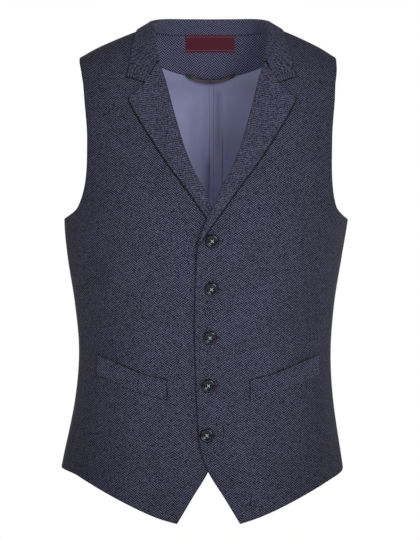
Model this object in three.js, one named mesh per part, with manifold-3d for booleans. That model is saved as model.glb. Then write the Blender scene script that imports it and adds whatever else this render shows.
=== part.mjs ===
// A men's suit waistcoat with notched lapels, filled out as if worn, with nobody in it.
// Millimetres, +Z up. The wearer faces -Y and the wearer's left side is +X. The origin lies between
// the shoulders, at the height where the shoulder seams come out from under the collar.
// The body is a stack of rounded sections. Every panel is a patch of that body: it is bounded by
// curves given by a place round the body and a height, and it gets its wall along the body's normal.

import * as THREE from 'three';
import { mergeVertices } from 'three/addons/utils/BufferGeometryUtils.js';
import Module from 'manifold-3d';

const wasm = await Module();
wasm.setup();

const { degToRad } = THREE.MathUtils;

// Driving dimensions.
const SEAM_GAP = 0.3;
const LAYER_GAP = 0.5;
const FRONT_WALL = 2.4;
const BACK_WALL = 1.8;
const LINING_WALL = 1.0;
const FACING_WALL = 1.6;
const COLLAR_WALL = 2.0;
const LAPEL_WALL = 2.0;
const WELT_WALL = 1.6;
const LABEL_WALL = 1.0;
const LOOP_WALL = 1.4;
const SECTION_POWER = 2.3;
const YOKE_Z = -72;
const SHOULDER_TIP_Z = -35;
const NECK_SEAM_Z = 5.2;
const BACK_NECK_Z = 3.2;
const SIDE_SEAM_TURN = degToRad(97);
const UNDERARM_Z = -255;
const GORGE_Z = -45;
const ROLL_SET_BACK = 2.3;
const BUTTON = { radius: 8.2, height: 3.3, holeRadius: 0.85, holePitch: 3.0, segments: 18 };
const LABEL = { width: 67.5, top: 4, bottom: -18.5, middle: 2.2 };
const LOOP = { left: -31, right: 37, top: -46.5, sag: 8, width: 4.2, stand: 2.6 };

// The body's sections from the hem up: half its width, its depth in front of and behind the side
// line, and how far its middle leans to the wearer's left.
const SECTIONS = [
  { z: -655, half: 200, front: 126, back: 128, lean: -9 },
  { z: -582, half: 189, front: 121, back: 117, lean: -8.4 },
  { z: -496, half: 174, front: 115, back: 104, lean: -6 },
  { z: -430, half: 169.5, front: 113, back: 99, lean: -5 },
  { z: -366, half: 174.6, front: 117.5, back: 105, lean: -5.4 },
  { z: -302, half: 184.6, front: 122, back: 115, lean: -5 },
  { z: -256, half: 190.5, front: 124, back: 123, lean: -3.4 },
  { z: -205, half: 193, front: 119, back: 127, lean: 0.4 },
  { z: -150, half: 199, front: 105, back: 124, lean: 1.6 },
  { z: -100, half: 204, front: 87, back: 115, lean: 1.6 },
  { z: -72, half: 203, front: 75, back: 104, lean: 1 },
  { z: -55, half: 199.5, front: 67, back: 95, lean: 0.5 },
  { z: -45, half: 190.5, front: 62, back: 89, lean: -0.5 },
  { z: -35, half: 172.5, front: 56.5, back: 83.3, lean: -1 },
  { z: -20, half: 146.5, front: 47.7, back: 73.3, lean: 0.5 },
  { z: 0, half: 101, front: 36, back: 60, lean: 2.6 },
  { z: 6.5, half: 78, front: 30, back: 54, lean: 3 },
];

// The line that the buttons lie on, and that the neck opening is centred on.
const CENTRE_LINE = [
  { z: -651, x: 0 },
  { z: -583, x: -0.5 },
  { z: -537, x: -2 },
  { z: -471, x: 0 },
  { z: -409, x: 2 },
  { z: -346, x: 4 },
  { z: -240, x: 5 },
  { z: -60, x: 4.4 },
  { z: 6.5, x: 2 },
];

// A front's own edge below the lapel: how far it reaches past the centre line. Below the last button
// it is cut away to the point of the hem, so there it stays short of the line.
const FRONT_EDGE = [
  { z: -651, past: -41 },
  { z: -617, past: -20.5 },
  { z: -583, past: 0.4 },
  { z: -566, past: 6.5 },
  { z: -545, past: 10.5 },
  { z: -512, past: 13.6 },
  { z: -447, past: 18.2 },
  { z: -403, past: 20.7 },
  { z: -350, past: 21.6 },
  { z: -310, past: 20.6 },
  { z: -288, past: 18.8 },
];

// The roll line that the lapel folds over, from the break below it to the gorge seam above it.
const ROLL_LINE = [
  { z: -288, x: -18.8 },
  { z: -274, x: -14.6 },
  { z: -258, x: -8.4 },
  { z: -240, x: 0.8 },
  { z: -215, x: 10.8 },
  { z: -190, x: 24 },
  { z: -164, x: 34.6 },
  { z: -119, x: 48.2 },
  { z: -63, x: 63 },
  { z: GORGE_Z, x: 70 },
];

// The lapel's outer edge, from its narrow lower end to the tip at the notch.
const LAPEL_EDGE = [
  { z: -284, x: -13.8 },
  { z: -270, x: -4.6 },
  { z: -256, x: 5.6 },
  { z: -218, x: 32.5 },
  { z: -182, x: 59 },
  { z: -140, x: 86 },
  { z: -120, x: 98 },
  { z: -99, x: 109 },
];
const LAPEL_TIP = { x: 110, z: -94.5 };

// A front's neckline above its lapel, under the collar.
const FRONT_NECKLINE = [
  { x: 75.5, z: -43.5 },
  { x: 79, z: -20 },
  { x: 81.5, z: -6 },
];
const NOTCH_CORNER = { x: 86.5, z: -73 };

// The armhole's front and back edges, from the underarm up to the shoulder tip, by half width.
const ARMHOLE_FRONT = [
  { z: -249, x: 184 },
  { z: -240, x: 173.5 },
  { z: -228, x: 168.4 },
  { z: -212, x: 164.8 },
  { z: -190, x: 162.5 },
  { z: -165, x: 162 },
  { z: -132, x: 162.8 },
  { z: -88, x: 167 },
  { z: -60, x: 170.2 },
  { z: -46, x: 171.8 },
  { z: -38, x: 172.4 },
];
const ARMHOLE_BACK = [
  { z: -249, x: 183 },
  { z: -238, x: 173 },
  { z: -222, x: 168.6 },
  { z: -190, x: 164.4 },
  { z: -150, x: 162.6 },
  { z: -110, x: 163.6 },
  { z: -65, x: 168.4 },
  { z: -46, x: 171.4 },
  { z: -38, x: 172.4 },
];

// The hem of a front from its point to the side seam, by distance from the hem's middle. That
// follows a part of the body's lean.
const HEM_SIDE_Z = -583;
const HEM_BACK_Z = -586;
const HEM_LEAN = 0.1;
const HEM_FRONT = [
  { x: 62, z: -645 },
  { x: 85, z: -636 },
  { x: 106, z: -626.5 },
  { x: 126, z: -616.8 },
  { x: 145, z: -607.2 },
  { x: 162.5, z: -598 },
  { x: 178, z: -590.2 },
];

// The lap of the wearer's left front: it stands off as far as `from` past the centre line and comes
// down by `to`. Between the heights `lowEnd` and `highEnd` it leaves room for the right lapel's end.
const LAP = { from: 24, to: 60, low: -325, lowEnd: -285, highEnd: -236, high: -190, room: 3.9 };

// The collar from its front end to the centre back: the top of its fold, and where its foot and its
// outer edge lie on the body. Past the shoulder seam they lie on the back.
const COLLAR_STATIONS = [
  { rollX: 70, rollY: -60, rollZ: -42.4, footX: 73.7, footZ: -42.2, edgeX: 112.8, edgeZ: -66 },
  { rollX: 74.5, rollY: -47, rollZ: -21, footX: 76.8, footZ: -22, edgeX: 107, edgeZ: -40 },
  { rollX: 76.3, rollY: -23, rollZ: 1, footX: 79.8, footZ: -3, edgeX: 102.5, edgeZ: -19 },
  { rollX: 75.5, rollY: 3, rollZ: 12, footX: 80.6, footZ: 5.5, edgeX: 95, edgeZ: 1.4 },
  { rollX: 60, rollY: 34, rollZ: 18.5, footX: 62, footZ: 4.9, edgeX: 78, edgeZ: -13 },
  { rollX: 33, rollY: 52, rollZ: 20.5, footX: 34, footZ: 3.8, edgeX: 41, edgeZ: -19 },
  { rollX: 0, rollY: 58, rollZ: 21, footX: 0, footZ: BACK_NECK_Z, edgeX: 0, edgeZ: -21 },
];
const SHOULDER_STATION = 3;
const COLLAR_STEPS = 36;
const FOLD_RADIUS = 2.9;
const COLLAR_EDGE_GAP = 1.1;
const COLLAR_FOOT_RISE = 0.8;
const COLLAR_BELLY = 0.6;

// The neckline of the back, and the lower edge of the facing inside it, from the centre outwards.
// Both end on the shoulder seam.
const BACK_NECKLINE = [
  { x: 40, z: 3.3 },
  { x: 67, z: 4.1 },
];
const FACING_EDGE = [
  { x: 18, z: -54.6 },
  { x: 36, z: -50.2 },
  { x: 54, z: -45.2 },
  { x: 70, z: -39.6 },
  { x: 86, z: -31.8 },
  { x: 98, z: -24 },
  { x: 106, z: -17.6 },
  { x: 111, z: -12.8 },
];
const FACING_MIDDLE_Z = -56;
const FACING_END_Z = -8;

// A welt pocket: its upper edge from the inner to the outer end, and its height.
const WELT_TOP = [
  { x: 53.8, z: -463.5 },
  { x: 81, z: -457.5 },
  { x: 103, z: -449.5 },
  { x: 119, z: -442.5 },
  { x: 147, z: -432 },
];
const WELT_HEIGHT = 27;

// The steps of the panels' grids. The upper field of the back takes the columns up to FACING_PART.
// The rows crowd at the underarm and again towards the shoulder seam, where the cloth turns over.
const FRONT_COLUMNS = 13;
const FRONT_ROWS_AT = [...rowsTo(0, 0.5, 12), ...rowsTo(0.5, 0.6, 5), ...rowsTo(0.6, 0.9, 8),
  ...rowsTo(0.9, 1, 7, 2), 1];
const FACING_PART = 0.5;
const BACK_COLUMNS_AT = [0, 0.012, 0.028, 0.055, 0.085, 0.17, 0.26, 0.34, 0.405, 0.45, 0.48,
  FACING_PART, 0.6, 0.7, 0.8, 0.9, 1];
const BACK_ROWS_AT = [...rowsTo(0, 0.5, 7), ...rowsTo(0.5, 0.6, 4), ...rowsTo(0.6, 0.88, 5),
  ...rowsTo(0.88, 1, 5, 2), 1];
const FACING_ROWS = 5;

// The lining's ease pleat: how far it stands in, where it starts and ends across the half, and the
// heights between which it dies away.
const PLEAT = { depth: 2.6, start: 0.012, full: 0.028, fall: 0.055, end: 0.085, low: -430, high: -300 };
const HEM_BACK_TURN = degToRad(140);
const LABEL_GAP = 0.75;
const LOOP_GAP = 1.1;
const BUTTON_ROWS = [-283, -345.8, -409, -472, -536.5];

// Reads one column of a table as a smooth curve over another column, straight past its ends.
function column(rows, key, name) {
  const sorted = [...rows].sort((a, b) => a[key] - b[key]);
  const at = sorted.map((row) => row[key]);
  const value = sorted.map((row) => row[name]);
  const last = at.length - 1;
  const slope = at.map((_, i) => {
    const before = Math.max(i - 1, 0);
    const after = Math.min(i + 1, last);
    return (value[after] - value[before]) / (at[after] - at[before]);
  });
  return (place) => {
    if (place <= at[0]) return value[0] + slope[0] * (place - at[0]);
    if (place >= at[last]) return value[last] + slope[last] * (place - at[last]);
    const i = at.findIndex((start, k) => place >= start && place <= at[k + 1]);
    const span = at[i + 1] - at[i];
    const t = (place - at[i]) / span;
    const bend = span * t * (1 - t);
    const ease = t * t * (3 - 2 * t);
    return (1 - ease) * value[i] + ease * value[i + 1]
      + bend * ((1 - t) * slope[i] - t * slope[i + 1]);
  };
}

// Half a seam's gap, as a turn round the body, and the turns of the seams that it parts.
const SEAM_ANGLE = 0.0012;
const RIDGE_ANGLE = 0.004;
const FRONT_RIDGE = Math.PI / 2 - RIDGE_ANGLE;
const BACK_RIDGE = Math.PI / 2 + RIDGE_ANGLE;
const CENTRE_TURN = Math.PI - SEAM_ANGLE;

const sectionHalf = column(SECTIONS, 'z', 'half');
const sectionFront = column(SECTIONS, 'z', 'front');
const sectionBack = column(SECTIONS, 'z', 'back');
const sectionLean = column(SECTIONS, 'z', 'lean');
const centreLine = column(CENTRE_LINE, 'z', 'x');

// A point of the body's surface. A turn of 0 is the centre front, 90 degrees the wearer's left side.
function surfacePoint(turn, z) {
  const side = Math.sin(turn);
  const ahead = Math.cos(turn);
  const sum = Math.abs(side) ** SECTION_POWER + Math.abs(ahead) ** SECTION_POWER;
  const reach = sum ** (-1 / SECTION_POWER);
  const depth = ahead > 0 ? sectionFront(z) : sectionBack(z);
  return new THREE.Vector3(sectionLean(z) + sectionHalf(z) * side * reach, -depth * ahead * reach, z);
}

// The direction straight out of the body, from its slopes round and up.
function outward(turn, z) {
  const turnStep = 0.02;
  const rise = 9;
  const around = surfacePoint(turn + turnStep, z).sub(surfacePoint(turn - turnStep, z));
  const up = surfacePoint(turn, z + rise).sub(surfacePoint(turn, z - rise));
  return around.cross(up).normalize();
}

// A point that stands off the body's surface by the given lift.
function bodyPoint(turn, z, lift = 0) {
  return surfacePoint(turn, z).addScaledVector(outward(turn, z), lift);
}

// The turn at which the body's front lies straight ahead of a given x. Behind, it is mirrored.
function frontTurn(x, z) {
  const part = THREE.MathUtils.clamp((x - sectionLean(z)) / sectionHalf(z), -1, 1);
  const depth = (1 - Math.abs(part) ** SECTION_POWER) ** (1 / SECTION_POWER);
  return Math.atan2(part, depth);
}

// A panel's curves are given by a lay and a height. Up to the yoke the lay is the turn. Above it,
// it is the turn of the same x at the yoke, so that the columns run straight up to the shoulders.
function frontLay(x, z) {
  const base = Math.min(z, YOKE_Z);
  return frontTurn(x - sectionLean(z) + sectionLean(base), base);
}

// The turn that a lay stands for at a given height.
function turnOf(lay, z) {
  if (z <= YOKE_Z) return lay;
  const x = Math.abs(surfacePoint(lay, YOKE_Z).x - sectionLean(YOKE_Z));
  const ahead = frontTurn(sectionLean(z) + x, z);
  const behind = Math.abs(lay) > Math.PI / 2;
  return Math.sign(lay) * (behind ? Math.max(Math.PI - ahead, BACK_RIDGE) : Math.min(ahead, FRONT_RIDGE));
}

// A curve through a list of [lay, z] pairs, for t from 0 to 1.
function smoothPath(pairs) {
  const curve = new THREE.CatmullRomCurve3(
    pairs.map(([lay, z]) => new THREE.Vector3(lay * 100, z, 0)), false, 'centripetal');
  return (t) => {
    const p = curve.getPointAt(THREE.MathUtils.clamp(t, 0, 1));
    return [p.x / 100, p.y];
  };
}

// Two paths end to end, with a corner at t = split.
function cornered(split, first, second) {
  return (t) => (t < split ? first(t / split) : second((t - split) / (1 - split)));
}

// A patch with four given sides: it blends between them (a Coons patch).
function patch(bottom, top, inner, outer) {
  const [lowIn, lowOut, highIn, highOut] = [bottom(0), bottom(1), top(0), top(1)];
  return (u, v) => [0, 1].map((k) => (1 - v) * bottom(u)[k] + v * top(u)[k]
    + (1 - u) * inner(v)[k] + u * outer(v)[k]
    - (1 - u) * (1 - v) * lowIn[k] - u * (1 - v) * lowOut[k]
    - (1 - u) * v * highIn[k] - u * v * highOut[k]);
}

// Even steps from 0 to 1.
function steps(count) {
  return Array.from({ length: count + 1 }, (_, i) => i / count);
}

// Steps from one value up to another one, without the last. A power over 1 crowds them towards it.
function rowsTo(from, to, count, power = 1) {
  return steps(count).slice(0, -1).map((t) => to - (to - from) * (1 - t) ** power);
}

// Six times the volume inside a list of triangles, positive when they face out.
function signedVolume(points, faces) {
  let sum = 0;
  for (let i = 0; i < faces.length; i += 3) {
    const [a, b, c] = [points[faces[i]], points[faces[i + 1]], points[faces[i + 2]]];
    sum += a.dot(b.clone().cross(c));
  }
  return sum;
}

// How far to a side a point lies.
const fromMiddle = (point) => Math.abs(point.x - sectionLean(point.z));

// A closed wall over grids of { shown, hidden } points. Grids that share an edge become one sheet,
// and a rim closes the sheet wherever its edge is left open. Every square is split from its inner
// lower corner to its outer upper one, so that layers cut to one grid keep an even gap.
function wallOf(...grids) {
  const shown = [];
  const hidden = [];
  const known = new Map();
  const indexOf = (pair) => {
    const key = pair.shown.toArray().map((n) => n.toFixed(3)).join();
    if (!known.has(key)) {
      known.set(key, shown.length);
      shown.push(pair.shown);
      hidden.push(pair.hidden);
    }
    return known.get(key);
  };
  const sheet = [];
  const open = new Set();
  const triangle = (...corners) => {
    sheet.push(corners);
    corners.forEach((a, k) => {
      const b = corners[(k + 1) % 3];
      if (!open.delete(`${b},${a}`)) open.add(`${a},${b}`);
    });
  };
  for (const grid of grids) {
    const at = grid.map((row) => row.map(indexOf));
    for (let j = 0; j + 1 < at.length; j += 1) {
      for (let i = 0; i + 1 < at[j].length; i += 1) {
        const [a, b, c, d] = [at[j][i], at[j][i + 1], at[j + 1][i + 1], at[j + 1][i]];
        if (fromMiddle(shown[b]) >= fromMiddle(shown[a])) {
          triangle(a, b, c);
          triangle(a, c, d);
        } else {
          triangle(a, b, d);
          triangle(b, c, d);
        }
      }
    }
  }
  const behind = shown.length;
  const faces = sheet.flatMap(([a, b, c]) => [a, b, c, behind + a, behind + c, behind + b]);
  for (const edge of open) {
    const [a, b] = edge.split(',').map(Number);
    faces.push(b, a, behind + a, b, behind + a, behind + b);
  }
  const points = [...shown, ...hidden];
  if (signedVolume(points, faces) < 0) faces.reverse();
  const geometry = new THREE.BufferGeometry().setFromPoints(points);
  geometry.setIndex(faces);
  geometry.computeVertexNormals();
  return geometry;
}

// A grid on the body. The place gives a turn and a height for each u and v, and the lift says how
// far off the body the cloth's outer side stands there.
function bodyGrid(columns, rows, placeAt, liftAt, thickness) {
  return rows.map((v) => columns.map((u) => {
    const [turn, z] = placeAt(u, v);
    const lift = liftAt(turn, z, u, v);
    return { shown: bodyPoint(turn, z, lift), hidden: bodyPoint(turn, z, lift - thickness) };
  }));
}

// Pairs each point of a grid with one behind it, along the normal of the grid itself.
function thickened(grid, thickness) {
  const near = (list, i) => [list[Math.max(i - 1, 0)], list[Math.min(i + 1, list.length - 1)]];
  return grid.map((row, j) => row.map((shown, i) => {
    const [left, right] = near(row, i);
    const [below, above] = near(grid, j).map((line) => line[i]);
    const normal = right.clone().sub(left).cross(above.clone().sub(below)).normalize();
    return { shown, hidden: shown.clone().addScaledVector(normal, thickness) };
  }));
}

const smooth = (low, high, value) => THREE.MathUtils.smoothstep(value, low, high);

// How far the wearer's left front stands off the body: it laps over the right one at the centre,
// and a little more where the right lapel ends between the two.
function lapLift(turn, z) {
  const x = surfacePoint(turn, z).x - centreLine(z);
  const { from, to, low, lowEnd, highEnd, high, room } = LAP;
  const lapelEnd = room * smooth(low, lowEnd, z) * (1 - smooth(highEnd, high, z));
  return (FRONT_WALL + LAYER_GAP + lapelEnd) * (1 - smooth(from, to, x));
}
const noLift = () => 0;

// A point of the shoulder seam, on the front's side of it or on the back's.
function onRidge(side, behind, z) {
  const lay = frontLay(sectionLean(z) + sectionHalf(z), z);
  return [side * (behind ? Math.PI - lay : lay), z];
}

// The shoulder seam from one height to another.
function shoulderSeam(side, behind, from, to) {
  return (t) => onRidge(side, behind, THREE.MathUtils.lerp(from, to, t));
}

// The inner side of a front from the hem's point to the neck point: its own edge, then the roll
// line, then the neckline under the collar. side is 1 for the wearer's left and -1 for the right.
function frontInnerSide(side) {
  const place = (half, z) => [frontLay(centreLine(z) + side * half, z), z];
  const edge = smoothPath(FRONT_EDGE.map((row) => place(-row.past, row.z)));
  const roll = smoothPath(ROLL_LINE.map((row) => place(row.x + ROLL_SET_BACK, row.z)));
  const neck = smoothPath([
    roll(1),
    ...FRONT_NECKLINE.map((row) => place(row.x, row.z)),
    onRidge(side, false, NECK_SEAM_Z),
  ]);
  return cornered(0.5, edge, cornered(0.8, roll, neck));
}

// The outer side of a front or back: the side seam, then the armhole to the shoulder tip.
function outerSide(side, armhole, seamTurn, behind) {
  const edge = armhole.map((row) => {
    const lay = frontLay(sectionLean(row.z) + row.x, row.z);
    return [side * (behind ? Math.PI - lay : lay), row.z];
  });
  const seam = smoothPath([[side * seamTurn, HEM_SIDE_Z], [side * seamTurn, UNDERARM_Z]]);
  const hole = smoothPath([seam(1), ...edge, onRidge(side, behind, SHOULDER_TIP_Z)]);
  return cornered(0.5, seam, hole);
}

// A panel's place on the body, as a turn and a height, from the four curves that bound it.
function panelPlace(...bounds) {
  const blend = patch(...bounds);
  return (u, v) => {
    const [lay, z] = blend(u, v);
    return [turnOf(lay, z), z];
  };
}

// One front panel, from the lapping edge to the side seam and from the hem to the shoulder.
function frontPanel(side) {
  const inner = frontInnerSide(side);
  const outer = outerSide(side, ARMHOLE_FRONT, SIDE_SEAM_TURN - SEAM_ANGLE, false);
  const hem = smoothPath([
    inner(0),
    ...HEM_FRONT.map(({ x, z }) => [frontLay(HEM_LEAN * sectionLean(z) + side * x, z), z]),
    outer(0),
  ]);
  const shoulder = shoulderSeam(side, false, inner(1)[1], SHOULDER_TIP_Z);
  const lift = side > 0 ? lapLift : noLift;
  const place = panelPlace(hem, shoulder, inner, outer);
  return wallOf(bodyGrid(steps(FRONT_COLUMNS), FRONT_ROWS_AT, place, lift, FRONT_WALL));
}

// A curve on the back from the centre to the shoulder seam, through the rows of a table.
function backCurve(side, rows, centreZ, seamZ) {
  const onBack = ({ x, z }) => [side * Math.PI - frontLay(centreLine(z) + side * x, z), z];
  return smoothPath([[side * CENTRE_TURN, centreZ], ...rows.map(onBack), onRidge(side, true, seamZ)]);
}

// One half of the back in two fields: below the facing's edge, and from there up to the neckline.
// Both layers of the back, the outer cloth and the lining with its facing, are cut to these fields.
function backFields(side) {
  const edge = backCurve(side, FACING_EDGE, FACING_MIDDLE_Z, FACING_END_Z);
  const neck = backCurve(side, BACK_NECKLINE, BACK_NECK_Z, NECK_SEAM_Z);
  const outer = outerSide(side, ARMHOLE_BACK, SIDE_SEAM_TURN + SEAM_ANGLE, true);
  const centre = smoothPath([[side * CENTRE_TURN, HEM_BACK_Z], edge(0)]);
  const hem = smoothPath([centre(0), [side * HEM_BACK_TURN, HEM_BACK_Z], outer(0)]);
  const seam = (from, to) => shoulderSeam(side, true, from, to);
  const top = cornered(FACING_PART, edge, seam(FACING_END_Z, SHOULDER_TIP_Z));
  return {
    lower: panelPlace(hem, top, centre, outer),
    upper: panelPlace(edge, neck, smoothPath([edge(0), neck(0)]), seam(FACING_END_Z, neck(1)[1])),
  };
}

// The columns of the upper field, which reaches only from the centre to the shoulder seam.
const facingColumns = BACK_COLUMNS_AT.filter((u) => u <= FACING_PART).map((u) => u / FACING_PART);

// One half of the back's outer cloth, from the centre back seam to the side seam.
function backPanel(side) {
  const { lower, upper } = backFields(side);
  return wallOf(
    bodyGrid(BACK_COLUMNS_AT, BACK_ROWS_AT, lower, noLift, BACK_WALL),
    bodyGrid(facingColumns, steps(FACING_ROWS), upper, noLift, BACK_WALL),
  );
}

const insideBack = () => -BACK_WALL - LAYER_GAP;

// The back lining lies inside the back, up to the facing. Its left half has the ease pleat beside
// the centre seam, which stands in from the back and dies away downwards.
function liningHalf(side) {
  const { lower } = backFields(side);
  const place = (u, v) => {
    const [turn, z] = lower(u, v);
    return [turn, v === 1 ? z - SEAM_GAP : z];
  };
  const lift = (turn, z, u, v) => {
    const { depth, start, full, fall, end, low, high } = PLEAT;
    const pleat = smooth(start, full, u) * (1 - smooth(fall, end, u)) * smooth(low, high, z);
    return insideBack() - (v === 1 ? LAYER_GAP : 0) - (side > 0 ? depth * pleat : 0);
  };
  return wallOf(bodyGrid(BACK_COLUMNS_AT, BACK_ROWS_AT, place, lift, LINING_WALL));
}

// The facing inside the back neck, from shoulder seam to shoulder seam.
function backNeckFacing() {
  const halves = [1, -1].map((side) => {
    const { upper } = backFields(side);
    const place = (u, v) => {
      const [turn, z] = upper(u, v);
      return [u === 0 ? Math.PI * side : turn, v === 1 ? z - 1 : z];
    };
    return bodyGrid(facingColumns, steps(FACING_ROWS), place, insideBack, FACING_WALL);
  });
  const whole = halves[0].map((row, j) => [...halves[1][j].slice(1).reverse(), ...row]);
  return wallOf(whole);
}

// A lapel lies on its front. Its inner side folds over the front's edge at the roll line: these are
// the fold's steps across it, with the lifts of the side that shows and of the side under it.
const LAPEL_FOLD = [
  { across: 0, lift: 0.9, under: -2.0 },
  { across: 1.0, lift: 2.2, under: -2.0 },
  { across: 1.5, lift: 2.6, under: 0.35 },
  { across: 5, lift: 3.3, under: 0.8 },
];
const LAPEL_ROWS = 18;
const LAPEL_REST = 5;
const LAPEL_EDGE_LIFT = 2.4;
// At the lapel's narrow lower end a fold step takes at most this share of the width per millimetre.
const NARROW_SHARE = 0.18;

function lapel(side) {
  const roll = smoothPath(ROLL_LINE.map((row) => [row.x / 100, row.z]));
  const edge = smoothPath([...LAPEL_EDGE, LAPEL_TIP].map((row) => [row.x / 100, row.z]));
  const gorge = [ROLL_LINE.at(-1).x / 100, GORGE_Z];
  const corner = [NOTCH_CORNER.x / 100, NOTCH_CORNER.z];
  const top = cornered(0.5, smoothPath([gorge, corner]), smoothPath([corner, edge(1)]));
  const flat = patch(smoothPath([roll(0), edge(0)]), top, roll, edge);
  const base = side > 0 ? lapLift : noLift;
  const grid = steps(LAPEL_ROWS).map((v) => {
    const [start, end] = [flat(0, v), flat(1, v)];
    const width = Math.hypot((end[0] - start[0]) * 100, end[1] - start[1]);
    const fold = LAPEL_FOLD.map(({ across, ...heights }) =>
      ({ part: Math.min(across / width, NARROW_SHARE * across), ...heights }));
    const from = fold.at(-1);
    const rest = steps(LAPEL_REST).slice(1).map((t) => {
      const lift = THREE.MathUtils.lerp(from.lift, LAPEL_EDGE_LIFT, t);
      return { part: THREE.MathUtils.lerp(from.part, 1, t), lift, under: lift - LAPEL_WALL };
    });
    return [...fold, ...rest].map(({ part, lift, under }) => {
      const [x, z] = flat(part, v);
      const turn = frontTurn(centreLine(z) + side * x * 100, z);
      const off = base(turn, z);
      return { shown: bodyPoint(turn, z, off + lift), hidden: bodyPoint(turn, z, off + under) };
    });
  });
  return wallOf(grid);
}

// The collar, made from its stations: at each one the cloth rises from its foot, turns over a
// tight fold and falls to its outer edge on the shoulders and the back.
function collar() {
  const grid = steps(COLLAR_STEPS).map((along) => {
    const side = along < 0.5 ? 1 : -1;
    return collarStation(1 - Math.abs(1 - 2 * along), side);
  });
  return wallOf(thickened(grid, COLLAR_WALL));
}

// Reads a column of the collar's table between its front end, 0, and the centre back, 1.
const collarColumns = Object.fromEntries(Object.keys(COLLAR_STATIONS[0]).map((name) => {
  const rows = COLLAR_STATIONS.map((row, i) => ({ along: i / (COLLAR_STATIONS.length - 1), ...row }));
  return [name, column(rows, 'along', name)];
}));

// The points across the collar's outer side at one station, from the foot to the outer edge.
function collarStation(along, side) {
  const get = (name) => collarColumns[name](along);
  const station = along * (COLLAR_STATIONS.length - 1);
  const onBody = (x, z, lift) => {
    const ahead = frontTurn(sectionLean(z) + x, z);
    const point = bodyPoint(station > SHOULDER_STATION ? Math.PI - ahead : ahead, z, lift);
    return point.setX(point.x - sectionLean(z));
  };
  const edgeLift = COLLAR_WALL + COLLAR_EDGE_GAP;
  const roll = new THREE.Vector3(get('rollX'), get('rollY'), get('rollZ'));
  const edge = onBody(get('edgeX'), get('edgeZ'), edgeLift);
  const neck = onBody(get('footX'), get('footZ'), 0);
  const rise = roll.clone().sub(neck.clone().lerp(edge, 0.5)).normalize();
  const across = onBody(get('edgeX'), get('edgeZ'), edgeLift + 10).sub(edge);
  across.addScaledVector(rise, -across.dot(rise)).normalize();
  const centre = roll.clone().addScaledVector(rise, -FOLD_RADIUS);
  const foot = neck.clone().addScaledVector(across, -COLLAR_WALL).addScaledVector(rise, COLLAR_FOOT_RISE);
  const bend = steps(4).map((part) => centre.clone()
    .addScaledVector(across, -FOLD_RADIUS * Math.cos(Math.PI * part))
    .addScaledVector(rise, FOLD_RADIUS * Math.sin(Math.PI * part)));
  const belly = bend.at(-1).clone().lerp(edge, COLLAR_BELLY);
  const notch = onBody(NOTCH_CORNER.x + 0.3, NOTCH_CORNER.z + 1, edgeLift);
  belly.lerp(notch, Math.max(0, 1 - 1.5 * station));
  const fall = [1 / 3, 2 / 3, 1].map((t) => bend.at(-1).clone().lerp(belly, t));
  const end = [0.5, 1].map((t) => belly.clone().lerp(edge, t));
  const middle = centreLine(get('rollZ'));
  return [foot, foot.clone().lerp(bend[0], 0.5), ...bend, ...fall, ...end]
    .map((p) => p.set(middle + side * p.x, p.y, p.z));
}

// A welt pocket's strip, sewn on the front.
function welt(side) {
  const top = smoothPath(WELT_TOP.map((row) => [row.x / 100, row.z]));
  const place = (u, v) => {
    const [x, z] = top(u);
    const height = z - WELT_HEIGHT * (1 - v);
    return [frontTurn(side * x * 100, height), height];
  };
  const base = side > 0 ? lapLift : noLift;
  const lift = (turn, z) => base(turn, z) + WELT_WALL + SEAM_GAP;
  return wallOf(bodyGrid(steps(14), steps(2), place, lift, WELT_WALL));
}

// A four-hole button with a raised rim, lying on the left front with its face along +Y.
function button() {
  const { radius, height, holeRadius, holePitch, segments } = BUTTON;
  const profile = [
    [0, 0], [0.72, 0], [0.92, 0.2], [1, 0.5], [0.97, 0.84], [0.87, 1], [0.76, 0.93], [0.64, 0.68], [0, 0.6],
  ].map(([r, h]) => new THREE.Vector2(r * radius, h * height));
  const disc = new THREE.LatheGeometry(profile, segments);
  const holes = [[1, 1], [1, -1], [-1, 1], [-1, -1]].map(([x, z]) => {
    const hole = new THREE.CylinderGeometry(holeRadius, holeRadius, height * 3, 8);
    return hole.translate((x * holePitch) / 2, height / 2, (z * holePitch) / 2);
  });
  return cut(disc, holes);
}

// Takes solids out of another one.
function cut(geometry, cutters) {
  const solid = cutters.map(asManifold).reduce((rest, cutter) => rest.subtract(cutter), asManifold(geometry));
  const { vertProperties, triVerts } = solid.getMesh();
  const result = new THREE.BufferGeometry();
  result.setAttribute('position', new THREE.BufferAttribute(vertProperties, 3));
  result.setIndex(new THREE.BufferAttribute(triVerts, 1));
  result.computeVertexNormals();
  return result;
}

function asManifold(geometry) {
  const bare = geometry.clone();
  bare.deleteAttribute('normal');
  bare.deleteAttribute('uv');
  const merged = mergeVertices(bare, 1e-4);
  return new wasm.Manifold(new wasm.Mesh({
    numProp: 3,
    vertProperties: new Float32Array(merged.attributes.position.array),
    triVerts: new Uint32Array(merged.index.array),
  }));
}

// A button's place on the left front: it stands on the cloth, square to it.
function placeButton(mesh, z) {
  const turn = frontTurn(centreLine(z), z);
  mesh.position.copy(bodyPoint(turn, z, lapLift(turn, z) + SEAM_GAP));
  mesh.quaternion.setFromUnitVectors(new THREE.Vector3(0, 1, 0), outward(turn, z));
  return mesh;
}

// The turn behind which the body's back lies at a given x.
const backTurn = (x, z) => Math.PI - frontTurn(x, z);

// The woven label on the facing, without any lettering.
function label() {
  const place = (u, v) => {
    const z = THREE.MathUtils.lerp(LABEL.bottom, LABEL.top, v);
    return [backTurn(LABEL.middle + (u - 0.5) * LABEL.width, z), z];
  };
  const lift = () => insideBack() - FACING_WALL - LABEL_GAP;
  return wallOf(bodyGrid(steps(8), steps(2), place, lift, LABEL_WALL));
}

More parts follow.
